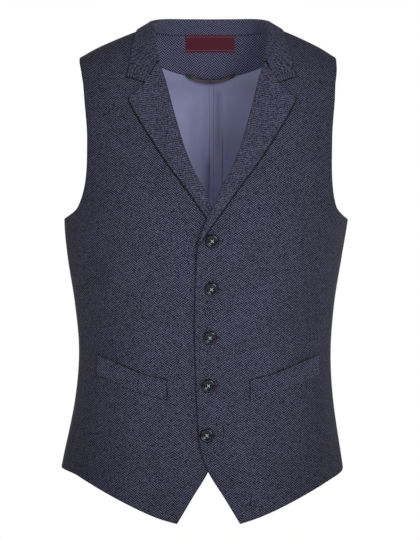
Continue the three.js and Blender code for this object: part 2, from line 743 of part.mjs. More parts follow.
// The hanger loop, a narrow folded strip that hangs across the facing's lower edge.
function hangerLoop() {
  const { left, right, top, sag, width, stand } = LOOP;
  const place = (u, v) => {
    const x = THREE.MathUtils.lerp(left, right, u);
    const z = top - 4 * sag * u * (1 - u) - width * (1 - v);
    return [backTurn(x, z), z];
  };
  const lift = (turn, z, u) => insideBack() - FACING_WALL - LOOP_GAP - stand * Math.sin(Math.PI * u) ** 0.5;
  return wallOf(bodyGrid(steps(14), steps(1), place, lift, LOOP_WALL));
}

// Materials, by what the pieces are made of.
const finish = (color, roughness, metalness = 0) =>
  new THREE.MeshStandardMaterial({ color, roughness, metalness });
const herringbone = () => finish(0x3b3c4d, 0.95);
const liningCloth = () => finish(0x6a6c8b, 0.45);
const buttonResin = () => finish(0x11151d, 0.2);
const labelWeave = () => finish(0x4b182a, 0.7);
const loopTape = () => finish(0x4a4440, 0.7);

const waistcoat = new THREE.Group();
function add(name, geometry, material) {
  const mesh = new THREE.Mesh(geometry, material);
  mesh.name = name;
  waistcoat.add(mesh);
  return mesh;
}

for (const [name, side] of [['left', 1], ['right', -1]]) {
  add(`front_${name}`, frontPanel(side), herringbone());
  add(`back_${name}`, backPanel(side), herringbone());
  add(`lining_back_${name}`, liningHalf(side), liningCloth());
  add(`lapel_${name}`, lapel(side), herringbone());
  add(`welt_${name}`, welt(side), herringbone());
}
add('collar', collar(), herringbone());
add('back_neck_facing', backNeckFacing(), herringbone());
add('label', label(), labelWeave());
add('hanger_loop', hangerLoop(), loopTape());
BUTTON_ROWS.forEach((z, i) => placeButton(add(`button_${i + 1}`, button(), buttonResin()), z));

export default waistcoat;
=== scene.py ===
# %% [markdown]
# # A suit waistcoat
# A waistcoat is cut flat and sewn into a round thing: two fronts, two backs, a lining, a collar with
# lapels. Here it is shown as on the maker's page, filled out and buttoned, with nobody in it.
# The solids give every piece its place. Each one is now laid again as a fine sheet of cloth with
# rounded edges, creases, seams and a real weave.

# %% The frame
import math
import bpy
import numpy as np
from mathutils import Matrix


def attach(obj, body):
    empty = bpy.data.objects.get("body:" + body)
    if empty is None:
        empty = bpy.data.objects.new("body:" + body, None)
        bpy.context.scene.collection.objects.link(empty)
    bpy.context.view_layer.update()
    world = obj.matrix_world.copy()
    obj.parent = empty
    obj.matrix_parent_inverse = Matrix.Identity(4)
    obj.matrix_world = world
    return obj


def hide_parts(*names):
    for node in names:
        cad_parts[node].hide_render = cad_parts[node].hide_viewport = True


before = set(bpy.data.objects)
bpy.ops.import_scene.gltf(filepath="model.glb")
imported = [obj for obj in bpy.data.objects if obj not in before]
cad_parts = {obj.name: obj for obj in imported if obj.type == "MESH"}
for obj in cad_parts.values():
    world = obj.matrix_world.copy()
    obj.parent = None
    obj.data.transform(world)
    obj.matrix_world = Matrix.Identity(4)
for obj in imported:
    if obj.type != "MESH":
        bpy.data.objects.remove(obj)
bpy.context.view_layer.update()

print("nodes in the frame:", len(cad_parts))

# %% [markdown]
# ## The camera
# A shop photograph of a garment is taken from far away with a long lens, level with its middle, so
# that the cloth keeps its proportions. A 169 mm lens at 3.4 m does the same.

# %% The camera
LENS, CAMERA_PLACE = 168.6, (0.002, -3.41, -0.3208)
camera_data = bpy.data.cameras.new("camera")
camera_data.lens = LENS
camera = bpy.data.objects.new("camera", camera_data)
camera.location = CAMERA_PLACE
camera.rotation_euler = (math.radians(90), 0, 0)
scene = bpy.context.scene
scene.collection.objects.link(camera)
scene.camera = camera
scene.view_settings.view_transform = "Standard"
print("camera at", tuple(camera.location))

# %% [markdown]
# ## The body that the cloth stands on
# Nobody is in the waistcoat, but its cloth still stands on a rounded torso. That torso is a stack of
# ovals, one for each height, and every panel is a patch of it. All sizes are in millimetres until a
# mesh is made.

# %% Curves through tables
def cubic(x, y, slope):
    """A smooth curve y(x): cubics that meet in the given slopes, and straight on past the ends."""
    x, y, slope = (np.asarray(a, float) for a in (x, y, slope))

    def read(place):
        place = np.asarray(place, float)
        i = np.clip(np.searchsorted(x, place) - 1, 0, len(x) - 2)
        span = x[i + 1] - x[i]
        t = np.clip((place - x[i]) / span, 0, 1)
        ease = t * t * (3 - 2 * t)
        inside = ((1 - ease) * y[i] + ease * y[i + 1]
                  + span * t * (1 - t) * ((1 - t) * slope[i] - t * slope[i + 1]))
        return (inside + slope[0] * np.minimum(place - x[0], 0)
                + slope[-1] * np.maximum(place - x[-1], 0))
    return read


def column(rows, index):
    """One column of a table, read as a smooth curve over the table's first column."""
    rows = np.array(sorted(rows), float)
    x, y = rows[:, 0], rows[:, index]
    number = np.arange(len(x))
    before, after = np.maximum(number - 1, 0), np.minimum(number + 1, len(x) - 1)
    return cubic(x, y, (y[after] - y[before]) / (x[after] - x[before]))


def path(points):
    """A smooth curve through points, for t from 0 to 1 by its length."""
    points = np.array(points, float)
    chord = np.linalg.norm(np.diff(points, axis=0), axis=1) ** 0.5
    knots = np.concatenate([[0], np.cumsum(chord)])
    fine = np.linspace(0, knots[-1], 60 * len(points))
    line = np.stack([cubic(knots, y, np.gradient(y, knots))(fine) for y in points.T], -1)
    length = np.concatenate([[0], np.cumsum(np.linalg.norm(np.diff(line, axis=0), axis=1))])
    return lambda t: np.stack([np.interp(np.asarray(t) * length[-1], length, y)
                               for y in line.T], -1)


def first(curve):
    """Where a path starts."""
    return curve(np.zeros(1))[0]


# %% The torso
# Height, half width, depth in front, depth behind, lean to the wearer's left.
SECTIONS = [
    (-655, 200, 126, 128, -9), (-582, 189, 121, 117, -8.4), (-496, 174, 115, 104, -6),
    (-430, 169.5, 113, 99, -5), (-366, 174.6, 117.5, 105, -5.4), (-302, 184.6, 122, 115, -5),
    (-256, 190.5, 124, 123, -3.4), (-205, 193, 119, 127, 0.4), (-150, 199, 105, 124, 1.6),
    (-100, 204, 87, 115, 1.6), (-72, 203, 75, 104, 1), (-55, 199.5, 67, 95, 0.5),
    (-45, 190.5, 62, 89, -0.5), (-35, 172.5, 56.5, 83.3, -1), (-20, 146.5, 47.7, 73.3, 0.5),
    (0, 101, 36, 60, 2.6), (6.5, 78, 30, 54, 3),
]
POWER = 2.3
YOKE_Z, TIP_Z, NECK_Z, BACK_NECK_Z = -72, -35, 5.2, 3.2
half, ahead_depth, back_depth, lean = (column(SECTIONS, k) for k in (1, 2, 3, 4))


def body(turn, z):
    """A point of the torso: an oval |side|^2.3 + |ahead|^2.3 = 1, stretched to its height's sizes."""
    turn, z = np.broadcast_arrays(np.asarray(turn, float), np.asarray(z, float))
    side, ahead = np.sin(turn), np.cos(turn)
    reach = (np.abs(side) ** POWER + np.abs(ahead) ** POWER) ** (-1 / POWER)
    depth = np.where(ahead > 0, ahead_depth(z), back_depth(z))
    return np.stack([lean(z) + half(z) * side * reach, -depth * ahead * reach, z], -1)


def unit(vector):
    """The same direction with a length of 1."""
    return vector / np.linalg.norm(vector, axis=-1, keepdims=True)


def outward(turn, z):
    """The direction straight out of the torso: across its slopes round and up."""
    around = body(turn + 0.02, z) - body(turn - 0.02, z)
    up = body(turn, z + 9) - body(turn, z - 9)
    return unit(np.cross(around, up))


def front_turn(x, z):
    """The turn round the torso at which its front lies straight ahead of x."""
    part = np.clip((x - lean(z)) / half(z), -1, 1)
    return np.arctan2(part, (1 - np.abs(part) ** POWER) ** (1 / POWER))


print("round the chest:", round(float(np.linalg.norm(np.diff(
    body(np.linspace(0, 2 * np.pi, 400), -256), axis=0), axis=1).sum())), "mm")

# %% [markdown]
# ## Creases
# Cloth that stands on a body is never quite smooth. It draws in at the waist, it falls in soft
# troughs from the armholes, and it pulls a little at the buttons. Each crease is placed from what
# the picture shows, uneven in length and depth, with similar ones where the back and the sides
# can't be seen. All layers share them, so that nothing pokes through its neighbour.

# %% Creases
# From x, z to x, z, how wide, how high (troughs are below zero).
FRONT_CREASES = [
    (-118, -150, -124, -238, 15, -1.5), (-172, -272, -122, -352, 13, -1.7),
    (-160, -384, -122, -470, 17, -1.6), (-128, -486, -150, -585, 19, -1.3),
    (-66, -120, -96, -196, 16, 0.9), (-146, -232, -108, -268, 11, 1.0),
    (96, -142, 118, -206, 12, -1.3), (170, -262, 112, -330, 13, -1.5),
    (150, -300, 104, -352, 10, 0.9), (158, -398, 120, -470, 16, -1.3),
    (82, -520, 128, -600, 18, -1.2), (-52, -540, -88, -622, 15, 1.0),
    (16, -290, 62, -312, 9, -0.8), (14, -350, 58, -344, 8, -0.6),
    (-30, -300, -74, -322, 10, -0.8), (20, -415, 60, -404, 8, -0.6),
    (-26, -424, -66, -410, 9, -0.6), (24, -545, 66, -590, 12, -0.8),
    (134, -118, 148, -190, 10, -1.0), (60, -215, 96, -262, 14, 0.8),
]
BACK_CREASES = [
    (-132, -120, -112, -230, 18, -1.8), (128, -112, 106, -246, 17, -1.6),
    (-166, -290, -88, -372, 15, -2.0), (160, -300, 70, -380, 14, -1.8),
    (-150, -342, -60, -402, 12, 1.3), (148, -362, 84, -412, 13, 1.2),
    (-40, -330, -22, -470, 16, -1.3), (34, -320, 26, -440, 14, -1.1),
    (-96, -470, -116, -580, 20, -1.5), (92, -480, 124, -575, 19, -1.4),
    (-60, -60, -96, -140, 20, 1.3), (64, -70, 104, -150, 18, 1.1),
]
SPREAD = 150  # millimetres of cloth to a radian of turn, about


def flat_place(turn):
    """Where a turn lies across the front or the back when its cloth is smoothed flat, about."""
    turn = np.arctan2(np.sin(turn), np.cos(turn))
    size = np.abs(turn)
    return SPREAD * np.where(size < np.pi / 2, turn, np.sign(turn) * (np.pi - size))


def relief(turn, z):
    """How far the cloth stands off the torso: a Gaussian across each crease, fading to its ends."""
    at, high = flat_place(turn), 0.0
    behind = np.cos(turn) < 0
    for creases, where in ((FRONT_CREASES, ~behind), (BACK_CREASES, behind)):
        for x0, z0, x1, z1, width, height in creases:
            a, b = SPREAD * front_turn(x0, z0), SPREAD * front_turn(x1, z1)
            length = math.hypot(b - a, z1 - z0)
            along = ((at - a) * (b - a) + (z - z0) * (z1 - z0)) / length ** 2
            across = ((at - a) * (z1 - z0) - (z - z0) * (b - a)) / length
            fade = np.sin(np.pi * np.clip(along * 0.8 + 0.1, 0, 1)) ** 2
            high = high + where * height * fade * np.exp(-(across / width) ** 2)
    uneven = (0.45 * np.sin(at / 41 + 1.3) * np.sin(z / 57 + 0.4)
              + 0.3 * np.sin(at / 19 + z / 43) + 0.2 * np.sin(at / 11 - z / 23 + 2))
    calm = np.clip((-z - 20) / 60, 0, 1) * np.clip(np.abs(np.cos(turn)) * 4, 0, 1)
    return (high + uneven) * calm


def stand(turn, z, lift=0.0):
    """A point of the cloth that stands off the torso by lift, over the creases."""
    off = np.asarray(lift) + relief(turn, z)
    return body(turn, z) + outward(turn, z) * off[..., None]


print("creases:", len(FRONT_CREASES), "in front,", len(BACK_CREASES), "behind")

# %% [markdown]
# ## Shader sums
# A weave is a sum: stripes, steps and noise. Writing it with Math nodes one by one is hard to read,
# so a small class lets ordinary Python sums make the nodes.

# %% Shader sums
class Value:
    """One number in a material. Sums on it add Math nodes to the material's tree."""

    def __init__(self, finish, socket):
        self.finish, self.socket = finish, socket

    def math(self, operation, *others):
        return self.finish.node("ShaderNodeMath", {"operation": operation},
                                dict(enumerate([self, *others])))

    def __add__(self, other): return self.math("ADD", other)
    def __radd__(self, other): return self.math("ADD", other)
    def __sub__(self, other): return self.math("SUBTRACT", other)
    def __rsub__(self, other): return self.finish.number(other).math("SUBTRACT", self)
    def __mul__(self, other): return self.math("MULTIPLY", other)
    def __rmul__(self, other): return self.math("MULTIPLY", other)
    def __truediv__(self, other): return self.math("DIVIDE", other)
    def __abs__(self): return self.math("ABSOLUTE")

    def line(self, width):
        """1 on the line where the value is 0, and 0 away from it: e^-(value / width)^2."""
        off = self / width
        return (off * off * -1).math("EXPONENT")

    def between(self, low, high):
        """0 below low, 1 above high, and a smooth ramp from one to the other."""
        return self.finish.node("ShaderNodeMapRange", {"interpolation_type": "SMOOTHSTEP"},
                                {"Value": self, "From Min": low, "From Max": high})


class Finish:
    """A material, and the nodes that its surface is worked out with."""

    def __init__(self, name, **constants):
        self.material = bpy.data.materials.new(name)
        self.material.use_nodes = True
        self.tree = self.material.node_tree
        self.surface = self.tree.nodes["Principled BSDF"]
        for socket, value in constants.items():
            self.surface.inputs[socket.replace("_", " ")].default_value = value

    def node(self, kind, settings=None, inputs=None, output=0):
        """A node with its settings, and its inputs set to numbers or linked to values."""
        node = self.tree.nodes.new(kind)
        for name, value in (settings or {}).items():
            setattr(node, name, value)
        for name, value in (inputs or {}).items():
            if isinstance(value, Value):
                self.tree.links.new(value.socket, node.inputs[name])
            else:
                node.inputs[name].default_value = value
        return Value(self, node.outputs[output])

    def number(self, value):
        return self.node("ShaderNodeMath", {"operation": "ADD"}, {0: value, 1: 0.0})

    def mark(self, name):
        """A number that the mesh carries at its vertices."""
        return self.node("ShaderNodeAttribute", {"attribute_name": name}, output="Fac")

    def weave_place(self):
        """The cloth's own coordinates: millimetres across and along the weave."""
        place = self.node("ShaderNodeUVMap", {"uv_map": "weave"})
        parts = [self.node("ShaderNodeSeparateXYZ", None, {0: place}, axis) for axis in (0, 1)]
        return place, *parts

    def noise(self, place, scale, detail=2.0, stretch=(1, 1, 1)):
        """Soft noise from 0 to 1 over a place, finer along the stretched directions."""
        place = self.node("ShaderNodeMapping", None, {"Vector": place, "Scale": stretch})
        return self.node("ShaderNodeTexNoise", None,
                         {"Vector": place, "Scale": scale, "Detail": detail})

    def mix(self, factor, first, second, blend="MIX"):
        """One colour mixed into another."""
        return self.node("ShaderNodeMix", {"data_type": "RGBA", "blend_type": blend},
                         {0: factor, 6: first, 7: second}, output=2)

    def darker(self, colour, shade):
        """A colour times one number."""
        grey = self.node("ShaderNodeCombineXYZ", None, {0: shade, 1: shade, 2: shade})
        return self.mix(1.0, colour, grey, "MULTIPLY")

    def dart(self):
        """1 along the stitched end of a dart or a pleat, and 0 away from it."""
        return self.mark("dart").line(0.8) * self.mark("dart_on")

    def bumps(self, height, strength, distance):
        """The way that the surface faces when it is bumpy by a distance in metres."""
        return self.node("ShaderNodeBump", None,
                         {"Strength": strength, "Distance": distance, "Height": height})

    def feed(self, **sockets):
        """Links values to the surface's sockets."""
        for name, value in sockets.items():
            self.tree.links.new(value.socket, self.surface.inputs[name.replace("_", " ")])
        return self.material


def seen(red, green, blue, strength=1.0):
    """A colour as it is seen on a screen, 0 to 255, as the light that it stands for."""
    light = [strength * ((c / 255 + 0.055) / 1.055) ** 2.4 for c in (red, green, blue)]
    return (*light, 1.0)


print("shader sums are ready")

# %% [markdown]
# ## Herringbone
# The cloth is a woollen herringbone. Its twill lines climb over one column and fall in the next, and
# every other column starts half a line off, so that the points don't meet. Every line is one of
# light blue-grey yarn on navy. Wool is fuzzy, so noise breaks the lines up, and a slight nap shades
# the whole. The pattern reads the cloth's own coordinates, so it follows every panel and stays put.

# %% Herringbone cloth
COLUMN, LINE, CLIMB = 4.7, 3.15, 0.824
NAVY, BLUE_GREY = (12, 10, 27), (138, 136, 171)


def herringbone(name, crisp, fuzz, light, slack=0.0, grain=950.0):
    """Stripes sin(2 pi (along + 0.824 across) / 3.15), mirrored and half a line off every column.
    crisp is the height of the stripes, fuzz that of the noise on them, grain how fine that is,
    and slack lets more light yarn show. light is painted light: how bright the yarns are painted."""
    cloth = Finish(name, Roughness=0.92, Specular_IOR_Level=0.18, Sheen_Weight=0.06,
                   Sheen_Roughness=0.5)
    place, across, along = cloth.weave_place()
    odd = (across / COLUMN).math("FLOOR").math("FLOORED_MODULO", 2.0)
    step = across.math("PINGPONG", COLUMN)
    phase = (along + step * CLIMB) / LINE + odd * 0.5
    stripe = (phase * (2 * math.pi)).math("SINE")
    fleck = cloth.noise(cloth.node("ShaderNodeTexCoord", output="Object"), grain, 2.0)
    slub = cloth.noise(place, 0.3, 2.0, (0.7, 0.7, 1))
    nap = cloth.noise(place, 0.02, 3.0)
    yarn = stripe * crisp + (fleck - 0.5) * fuzz + (slub - 0.5) * 0.5 + slack
    yarn = yarn.between(-0.15, 1.0)
    colour = cloth.mix(yarn, seen(*NAVY, light), seen(*BLUE_GREY, light))
    rim, stitch, under = (cloth.mark(mark).line(width)
                          for mark, width in (("rim", 1.5), ("stitch", 0.55), ("under", 1.6)))
    # Painted shade: darker along the edges, the stitch lines and the dart, and under what lies on the
    # cloth, on top of the shade mark, which is painted shade too.
    groove_and_painted_shade = rim * 0.75 + stitch * 0.3 + cloth.dart() * 0.35 + under * 0.95
    shade = (1 - groove_and_painted_shade.between(0.0, 1.15)) * (nap * 0.36 + 0.82) * (1 - cloth.mark("shade"))
    return cloth.feed(Base_Color=cloth.darker(colour, shade),
                      Normal=cloth.bumps(yarn * 0.5 - groove_and_painted_shade, 0.55, 0.0004))


# Painted light: the same cloth at three brightnesses, the lapels painted lighter and the inside of
# the neck lighter still, where they are lit more.
suiting = herringbone("suiting", 1.0, 5.4, 0.67, -0.03, 1100.0)
lapel_cloth = herringbone("lapel_suiting", 0.34, 4.6, 0.8, 0.14, 1350.0)
inside_cloth = herringbone("inside_suiting", 2.8, 3.8, 1.12, -0.7)
print("herringbone repeats every", 2 * COLUMN, "mm")

# %% [markdown]
# ## Lining, label, tape and buttons
# The lining is a smooth lilac-blue satin with a broad, soft shine. The label is a shinier red weave
# with fine threads. The hanger loop is a narrow tape. The buttons are dark polished resin, cloudy
# inside, sewn on with a pale blue thread.

# %% Smooth cloths and resin
def satin(name, colour, roughness=0.42):
    """A plain close weave: fine threads one way, with a soft uneven shine."""
    cloth = Finish(name, Specular_IOR_Level=0.5, Sheen_Weight=0.1)
    place, across, along = cloth.weave_place()
    threads = cloth.noise(place, 0.9, 2.0, (1, 0.08, 1))
    cloud = cloth.noise(place, 0.03, 2.0)
    shade = (threads * 0.16 + cloud * 0.16 + 0.84) * (1 - cloth.mark("shade"))
    # Painted shade: darker along the stitch lines, the edges and the pleat's fold, and by the shade
    # mark.
    stitch, rim = cloth.mark("stitch").line(0.6), cloth.mark("rim").line(0.6)
    shade = shade * (1 - stitch * 0.4 - rim * 0.3 - cloth.dart() * 0.5)
    return cloth.feed(Base_Color=cloth.darker(colour, shade),
                      Roughness=threads * 0.14 + roughness,
                      Normal=cloth.bumps(threads, 0.2, 0.0002))


def label_weave():
    """Fine upright threads, with a pale line near the top and the bottom edge."""
    cloth = Finish("label_weave", Roughness=0.5, Sheen_Weight=0.1)
    place, across, along = cloth.weave_place()
    threads = ((across * 9.0).math("SINE") * (along * 7.0).math("SINE")).between(-1, 1)
    border = cloth.mark("stitch").line(0.45)
    colour = cloth.mix(threads, seen(74, 3, 29), seen(104, 11, 43))
    return cloth.feed(Base_Color=cloth.mix(border * 0.55, colour, seen(170, 100, 118)),
                      Normal=cloth.bumps(threads, 0.3, 0.0002))


def resin():
    """Nearly black resin with cloudy blue streaks under the polish, and painted shade in its holes.
    """
    cast = Finish("button_resin", Roughness=0.16, Specular_IOR_Level=0.7)
    place = cast.node("ShaderNodeTexCoord", output="Object")
    streak = cast.noise(place, 260.0, 4.0, (1, 1, 2.2)).between(0.5, 0.8)
    colour = cast.mix(streak, seen(5, 7, 18), seen(22, 32, 58))
    return cast.feed(Base_Color=cast.mix(cast.mark("hole"), colour, seen(4, 5, 8)))


lining = satin("lining_satin", seen(178, 179, 220))
tape = satin("loop_tape", seen(92, 84, 84), 0.5)
thread = satin("button_thread", seen(165, 190, 215), 0.6)
dark_thread = satin("buttonhole_thread", seen(30, 31, 44), 0.7)
label_cloth, button_resin = label_weave(), resin()
print("finishes:", len(bpy.data.materials))

# %% [markdown]
# ## From a grid to a sheet of cloth
# A real panel is two thin layers with its edge turned in, so its edge is round. The grid of places
# gives an outer and an inner side. Both bend towards each other within a millimetre of the edge.
# The mesh also carries marks for the cloth to read: how far a place is from the edge, from a line
# of stitches, from a dart, and from what lies on it, along which the cloth gets painted shade.

# %% Sheets
FAR = 99.0
BLANK = {"rim": FAR, "stitch": FAR, "dart": FAR, "dart_on": 0.0, "under": FAR, "shade": 0.0}


def lengths(grid, axis):
    """How far each point of a grid lies along its own grid line."""
    steps = np.linalg.norm(np.diff(grid, axis=axis), axis=-1)
    start = np.zeros_like(np.take(steps, [0], axis=axis))
    return np.concatenate([start, np.cumsum(steps, axis=axis)], axis=axis)


def rim_distance(grid):
    """How far each point lies from the grid's nearest edge, along the grid's own lines."""
    along, across = lengths(grid, 0), lengths(grid, 1)
    return np.minimum.reduce([along, along[-1:] - along, across, across[:, -1:] - across])


def without_top(rim, grid, where=True):
    """The distance from the rim, without the grid's top edge, which is sewn to what lies above."""
    to_top = lengths(grid, 0)[-1:] - lengths(grid, 0)
    return np.where(where & (rim >= to_top - 1e-6), FAR, rim)


def rounding(distance, wall):
    """How far a side bends in near the edge: a quarter circle, a little less than half the wall."""
    radius = 0.42 * wall
    return radius - np.sqrt(radius ** 2 - (radius - np.clip(distance, 0, radius)) ** 2)


def two_sides(turn, z, lift, wall, rim):
    """The outer and the inner side of a wall that stands off the torso by lift."""
    inset = rounding(rim, wall)
    return stand(turn, z, lift - inset), stand(turn, z, lift - wall + inset)


def crowd(count, size, radius=1.0):
    """Steps from 0 to 1 with close ones at both ends, for a rounded edge on a panel of a size."""
    close = np.array([0, 0.12, 0.3, 0.6, 1.0, 1.8]) * radius / size
    far = 3.2 * radius / size
    return np.concatenate([close, np.linspace(far, 1 - far, count), 1 - close[::-1]])


def make_piece(name, ending, points, faces, materials, marks, weave=None):
    """A mesh in metres from points in millimetres, with its weave coordinates and its marks."""
    mesh = bpy.data.meshes.new(name)
    mesh.from_pydata(points / 1000, [], faces, shade_flat=False)
    if weave is not None:
        corners = np.empty(len(mesh.loops), np.int32)
        mesh.loops.foreach_get("vertex_index", corners)
        uv = mesh.uv_layers.new(name="weave").uv
        uv.foreach_set("vector", weave[corners].astype(np.float32).ravel())
    for mark, value in marks.items():
        values = np.broadcast_to(np.asarray(value, np.float32), len(points))
        attribute = mesh.attributes.new(mark, "FLOAT", "POINT")
        attribute.data.foreach_set("value", np.ascontiguousarray(values))
    for material in materials:
        mesh.materials.append(material)
    piece = bpy.data.objects.new(name + ending, mesh)
    scene.collection.objects.link(piece)
    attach(piece, "root")
    return piece


def sheet(name, sides, weave, materials, marks, behind=0, ahead=0):
    """A closed sheet from the grids of its two sides, with a narrow rim between their edges.
    ahead and behind say which material the places of the outer and the inner side have."""
    rows, columns = weave.shape[:2]
    count = rows * columns
    number = np.arange(count).reshape(rows, columns)
    front = np.stack([number[:-1, :-1], number[:-1, 1:], number[1:, 1:], number[1:, :-1]], -1)
    front = front.reshape(-1, 4)
    ring = np.concatenate([number[0, :-1], number[:-1, -1], number[-1, :0:-1], number[:0:-1, 0]])
    after = np.roll(ring, -1)
    rim = np.stack([after, ring, ring + count, after + count], -1)
    faces = np.concatenate([front, front[:, ::-1] + count, rim])
    points = np.concatenate([side.reshape(-1, 3) for side in sides])
    a, b, c, d = (points[faces[:, k]] for k in range(4))
    volume = np.einsum("ij,ij->", a, np.cross(b, c)) + np.einsum("ij,ij->", a, np.cross(c, d))
    if volume < 0:
        faces = faces[:, ::-1]
    both = {mark: np.tile(np.broadcast_to(value, (rows, columns)).ravel(), 2)
            for mark, value in marks.items()}
    piece = make_piece(name, "_cloth", points, np.ascontiguousarray(faces), materials,
                       {**BLANK, **both}, np.tile(weave.reshape(-1, 2), (2, 1)))
    worn = [np.broadcast_to(kind, (rows, columns))[:-1, :-1].ravel() for kind in (ahead, behind)]
    worn = np.concatenate([*worn, np.full(len(rim), np.max(ahead))])
    piece.data.polygons.foreach_set("material_index", worn.astype(np.int32))
    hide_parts(name)
    print(name, len(faces) * 2, "triangles")
    return piece


def cut_to(grid):
    """Prints a sheet's cut, measured on its own grid: widest, longest, and its area."""
    across, along = lengths(grid, 1)[:, -1].max(), lengths(grid, 0)[-1].max()
    right, up = np.diff(grid, axis=1)[:-1], np.diff(grid, axis=0)[:, :-1]
    area = np.linalg.norm(np.cross(right, up), axis=-1).sum()
    area = min(area, across * along)
    print(f"  cut {across:.0f} x {along:.0f} mm, {area / 1e6:.3f} square metres")


def panel(name, sides, weave, materials, marks, held, rests_on, **faces):
    """A sheet of suiting or lining, with its cut printed."""
    piece = sheet(name, sides, weave, materials, marks, **faces)
    cut_to(sides[0])
    return piece


# %% [markdown]
# ## How a panel is bounded
# A cutter draws a panel by its edges. So does this: four curves round the torso bound it, and a
# Coons patch blends between them. Above the yoke the columns run straight up to the shoulder seam,
# where the torso gets too narrow to count by turns.

# %% Panel edges
LAY = 100  # turns are counted in hundredths of a radian here, to weigh about as much as mm


def front_lay(x, z):
    """The turn below the yoke. Above it, the turn that the same x has at the yoke."""
    base = np.minimum(z, YOKE_Z)
    return front_turn(x - lean(z) + lean(base), base)


def turn_of(lay, z, behind):
    """The turn that a lay stands for at a height, kept on its own side of the shoulder seam."""
    x = np.abs(body(lay, YOKE_Z + 0 * z)[..., 0] - lean(YOKE_Z))
    ahead = front_turn(lean(z) + x, z)
    high = np.maximum(np.pi - ahead, np.pi / 2) if behind else np.minimum(ahead, np.pi / 2)
    return np.where(z <= YOKE_Z, lay, np.sign(lay) * high)


def bent(split, first, second):
    """Two paths end to end, with a corner at t = split."""
    return lambda t: np.where((t < split)[..., None], first(np.clip(t / split, 0, 1)),
                              second(np.clip((t - split) / (1 - split), 0, 1)))


def patch(bottom, top, inner, outer, u, v):
    """A Coons patch: what the four sides give, blended across and along, less the corners. The
    steps across, u, may be others in each row."""
    low, high, left, right = bottom(u), top(u), inner(v)[:, None], outer(v)[:, None]
    a, b = np.atleast_2d(u)[..., None], v[:, None, None]
    (low_in, low_out), (high_in, high_out) = (line(np.array([0.0, 1.0])) for line in (bottom, top))
    return ((1 - b) * low + b * high + (1 - a) * left + a * right
            - (1 - a) * (1 - b) * low_in - a * (1 - b) * low_out
            - (1 - a) * b * high_in - a * b * high_out)


def placed(sides, u, v, behind):
    """The turns and heights of the patch between four sides."""
    lay, z = np.moveaxis(patch(*sides, u, v), -1, 0)
    return turn_of(lay / LAY, z, behind), z


def rows_up(count, size, top, near_top):
    """Steps up a panel, close near its top, and one right at the corner at t = 0.5."""
    v = np.union1d(crowd(count, size), 1 - top * np.linspace(1, 0, near_top) ** 2)
    return np.union1d(v[np.abs(v - 0.5) > 0.0015], [0.5])


def seam_line(side, behind, start, end):
    """The shoulder seam from one height to another."""
    def place(t):
        z = start + (end - start) * np.asarray(t, float)
        lay = front_lay(lean(z) + half(z), z)
        return np.stack([LAY * side * (np.pi - lay if behind else lay), z + 0 * lay], -1)
    return place


def outer_side(side, armhole, behind):
    """The side seam up to the underarm, then the armhole up to the shoulder tip."""
    z, x = np.array(armhole, float).T
    lay = front_lay(lean(z) + x, z)
    hole = np.stack([LAY * side * (np.pi - lay if behind else lay), z], -1)
    low, high = [LAY * side * SIDE_TURN, HEM_SIDE_Z], [LAY * side * SIDE_TURN, UNDERARM_Z]
    tip = seam_line(side, behind, TIP_Z, TIP_Z)(0.0)
    return bent(0.5, path([low, high]), path([high, *hole, tip]))


def girth(turn, z, start=0.0):
    """How far round the torso a turn lies from a starting turn, at its own height."""
    parts = np.linspace(0, 1, 25)
    turns = start + (turn[..., None] - start) * parts
    line = body(turns, np.broadcast_to(z[..., None], turns.shape))
    return np.sign(turn - start) * np.linalg.norm(np.diff(line, axis=-2), axis=-1).sum(-1)


def off_line(x, z, line):
    """How far each place lies from a bent line, in the plane of the front."""
    start, end = line[:-1], line[1:]
    along = end - start
    spot = np.stack([x, z], -1)[..., None, :]
    t = np.clip(((spot - start) * along).sum(-1) / (along ** 2).sum(-1), 0, 1)
    return np.linalg.norm(spot - start - t[..., None] * along, axis=-1).min(-1)


SIDE_TURN = math.radians(97)
HEM_SIDE_Z, HEM_BACK_Z, UNDERARM_Z = -583, -586, -255
# Height and half width of the armholes' edges.
ARMHOLE_FRONT = [(-249, 184), (-240, 173.5), (-228, 168.4), (-212, 164.8), (-190, 162.5),
                 (-165, 162), (-132, 162.8), (-88, 167), (-60, 170.2), (-46, 171.8), (-38, 172.4)]
ARMHOLE_BACK = [(-249, 183), (-238, 173), (-222, 168.6), (-190, 164.4), (-150, 162.6),
                (-110, 163.6), (-65, 168.4), (-46, 171.4), (-38, 172.4)]
print("armhole depth:", TIP_Z - UNDERARM_Z, "mm")

# %% [markdown]
# ## The fronts
# Each front runs from its lapping edge to the side seam and from the pointed hem to the shoulder.
# The wearer's left one laps over the right one and stands off it there. A long dart shapes each
# front over the waist, and a row of stitches runs 6 mm inside the edge. Inside, the cloth is
# faced near its edge and lined behind it.

# %% Front edges and what lies on the fronts
# Height, and how far past the centre line.
FRONT_EDGE = [(-651, -41), (-617, -20.5), (-583, 0.4), (-566, 6.5), (-545, 10.5), (-512, 13.6),
              (-447, 18.2), (-403, 20.7), (-350, 21.6), (-310, 20.6), (-288, 18.8)]
ROLL_LINE = [(-288, -18.8), (-274, -14.6), (-258, -8.4), (-240, 0.8), (-215, 10.8), (-190, 24),
             (-164, 34.6), (-119, 48.2), (-63, 63), (-45, 70)]
LAPEL_EDGE = [(-284, -13.8), (-270, -4.6), (-256, 5.6), (-218, 32.5), (-182, 59), (-140, 86),
              (-120, 98), (-99, 109), (-94.5, 110)]
NOTCH_CORNER = (86.5, -73)
HEM_FRONT = [(62, -645), (85, -636), (106, -626.5), (126, -616.8), (145, -607.2), (162.5, -598),
             (178, -590.2)]
NECKLINE = [(-45, 72.3), (-43.5, 75.5), (-20, 79), (-6, 81.5)]
WELT_TOP = [(53.8, -463.5), (81, -457.5), (103, -449.5), (119, -442.5), (147, -432)]
WELT_HEIGHT = 27
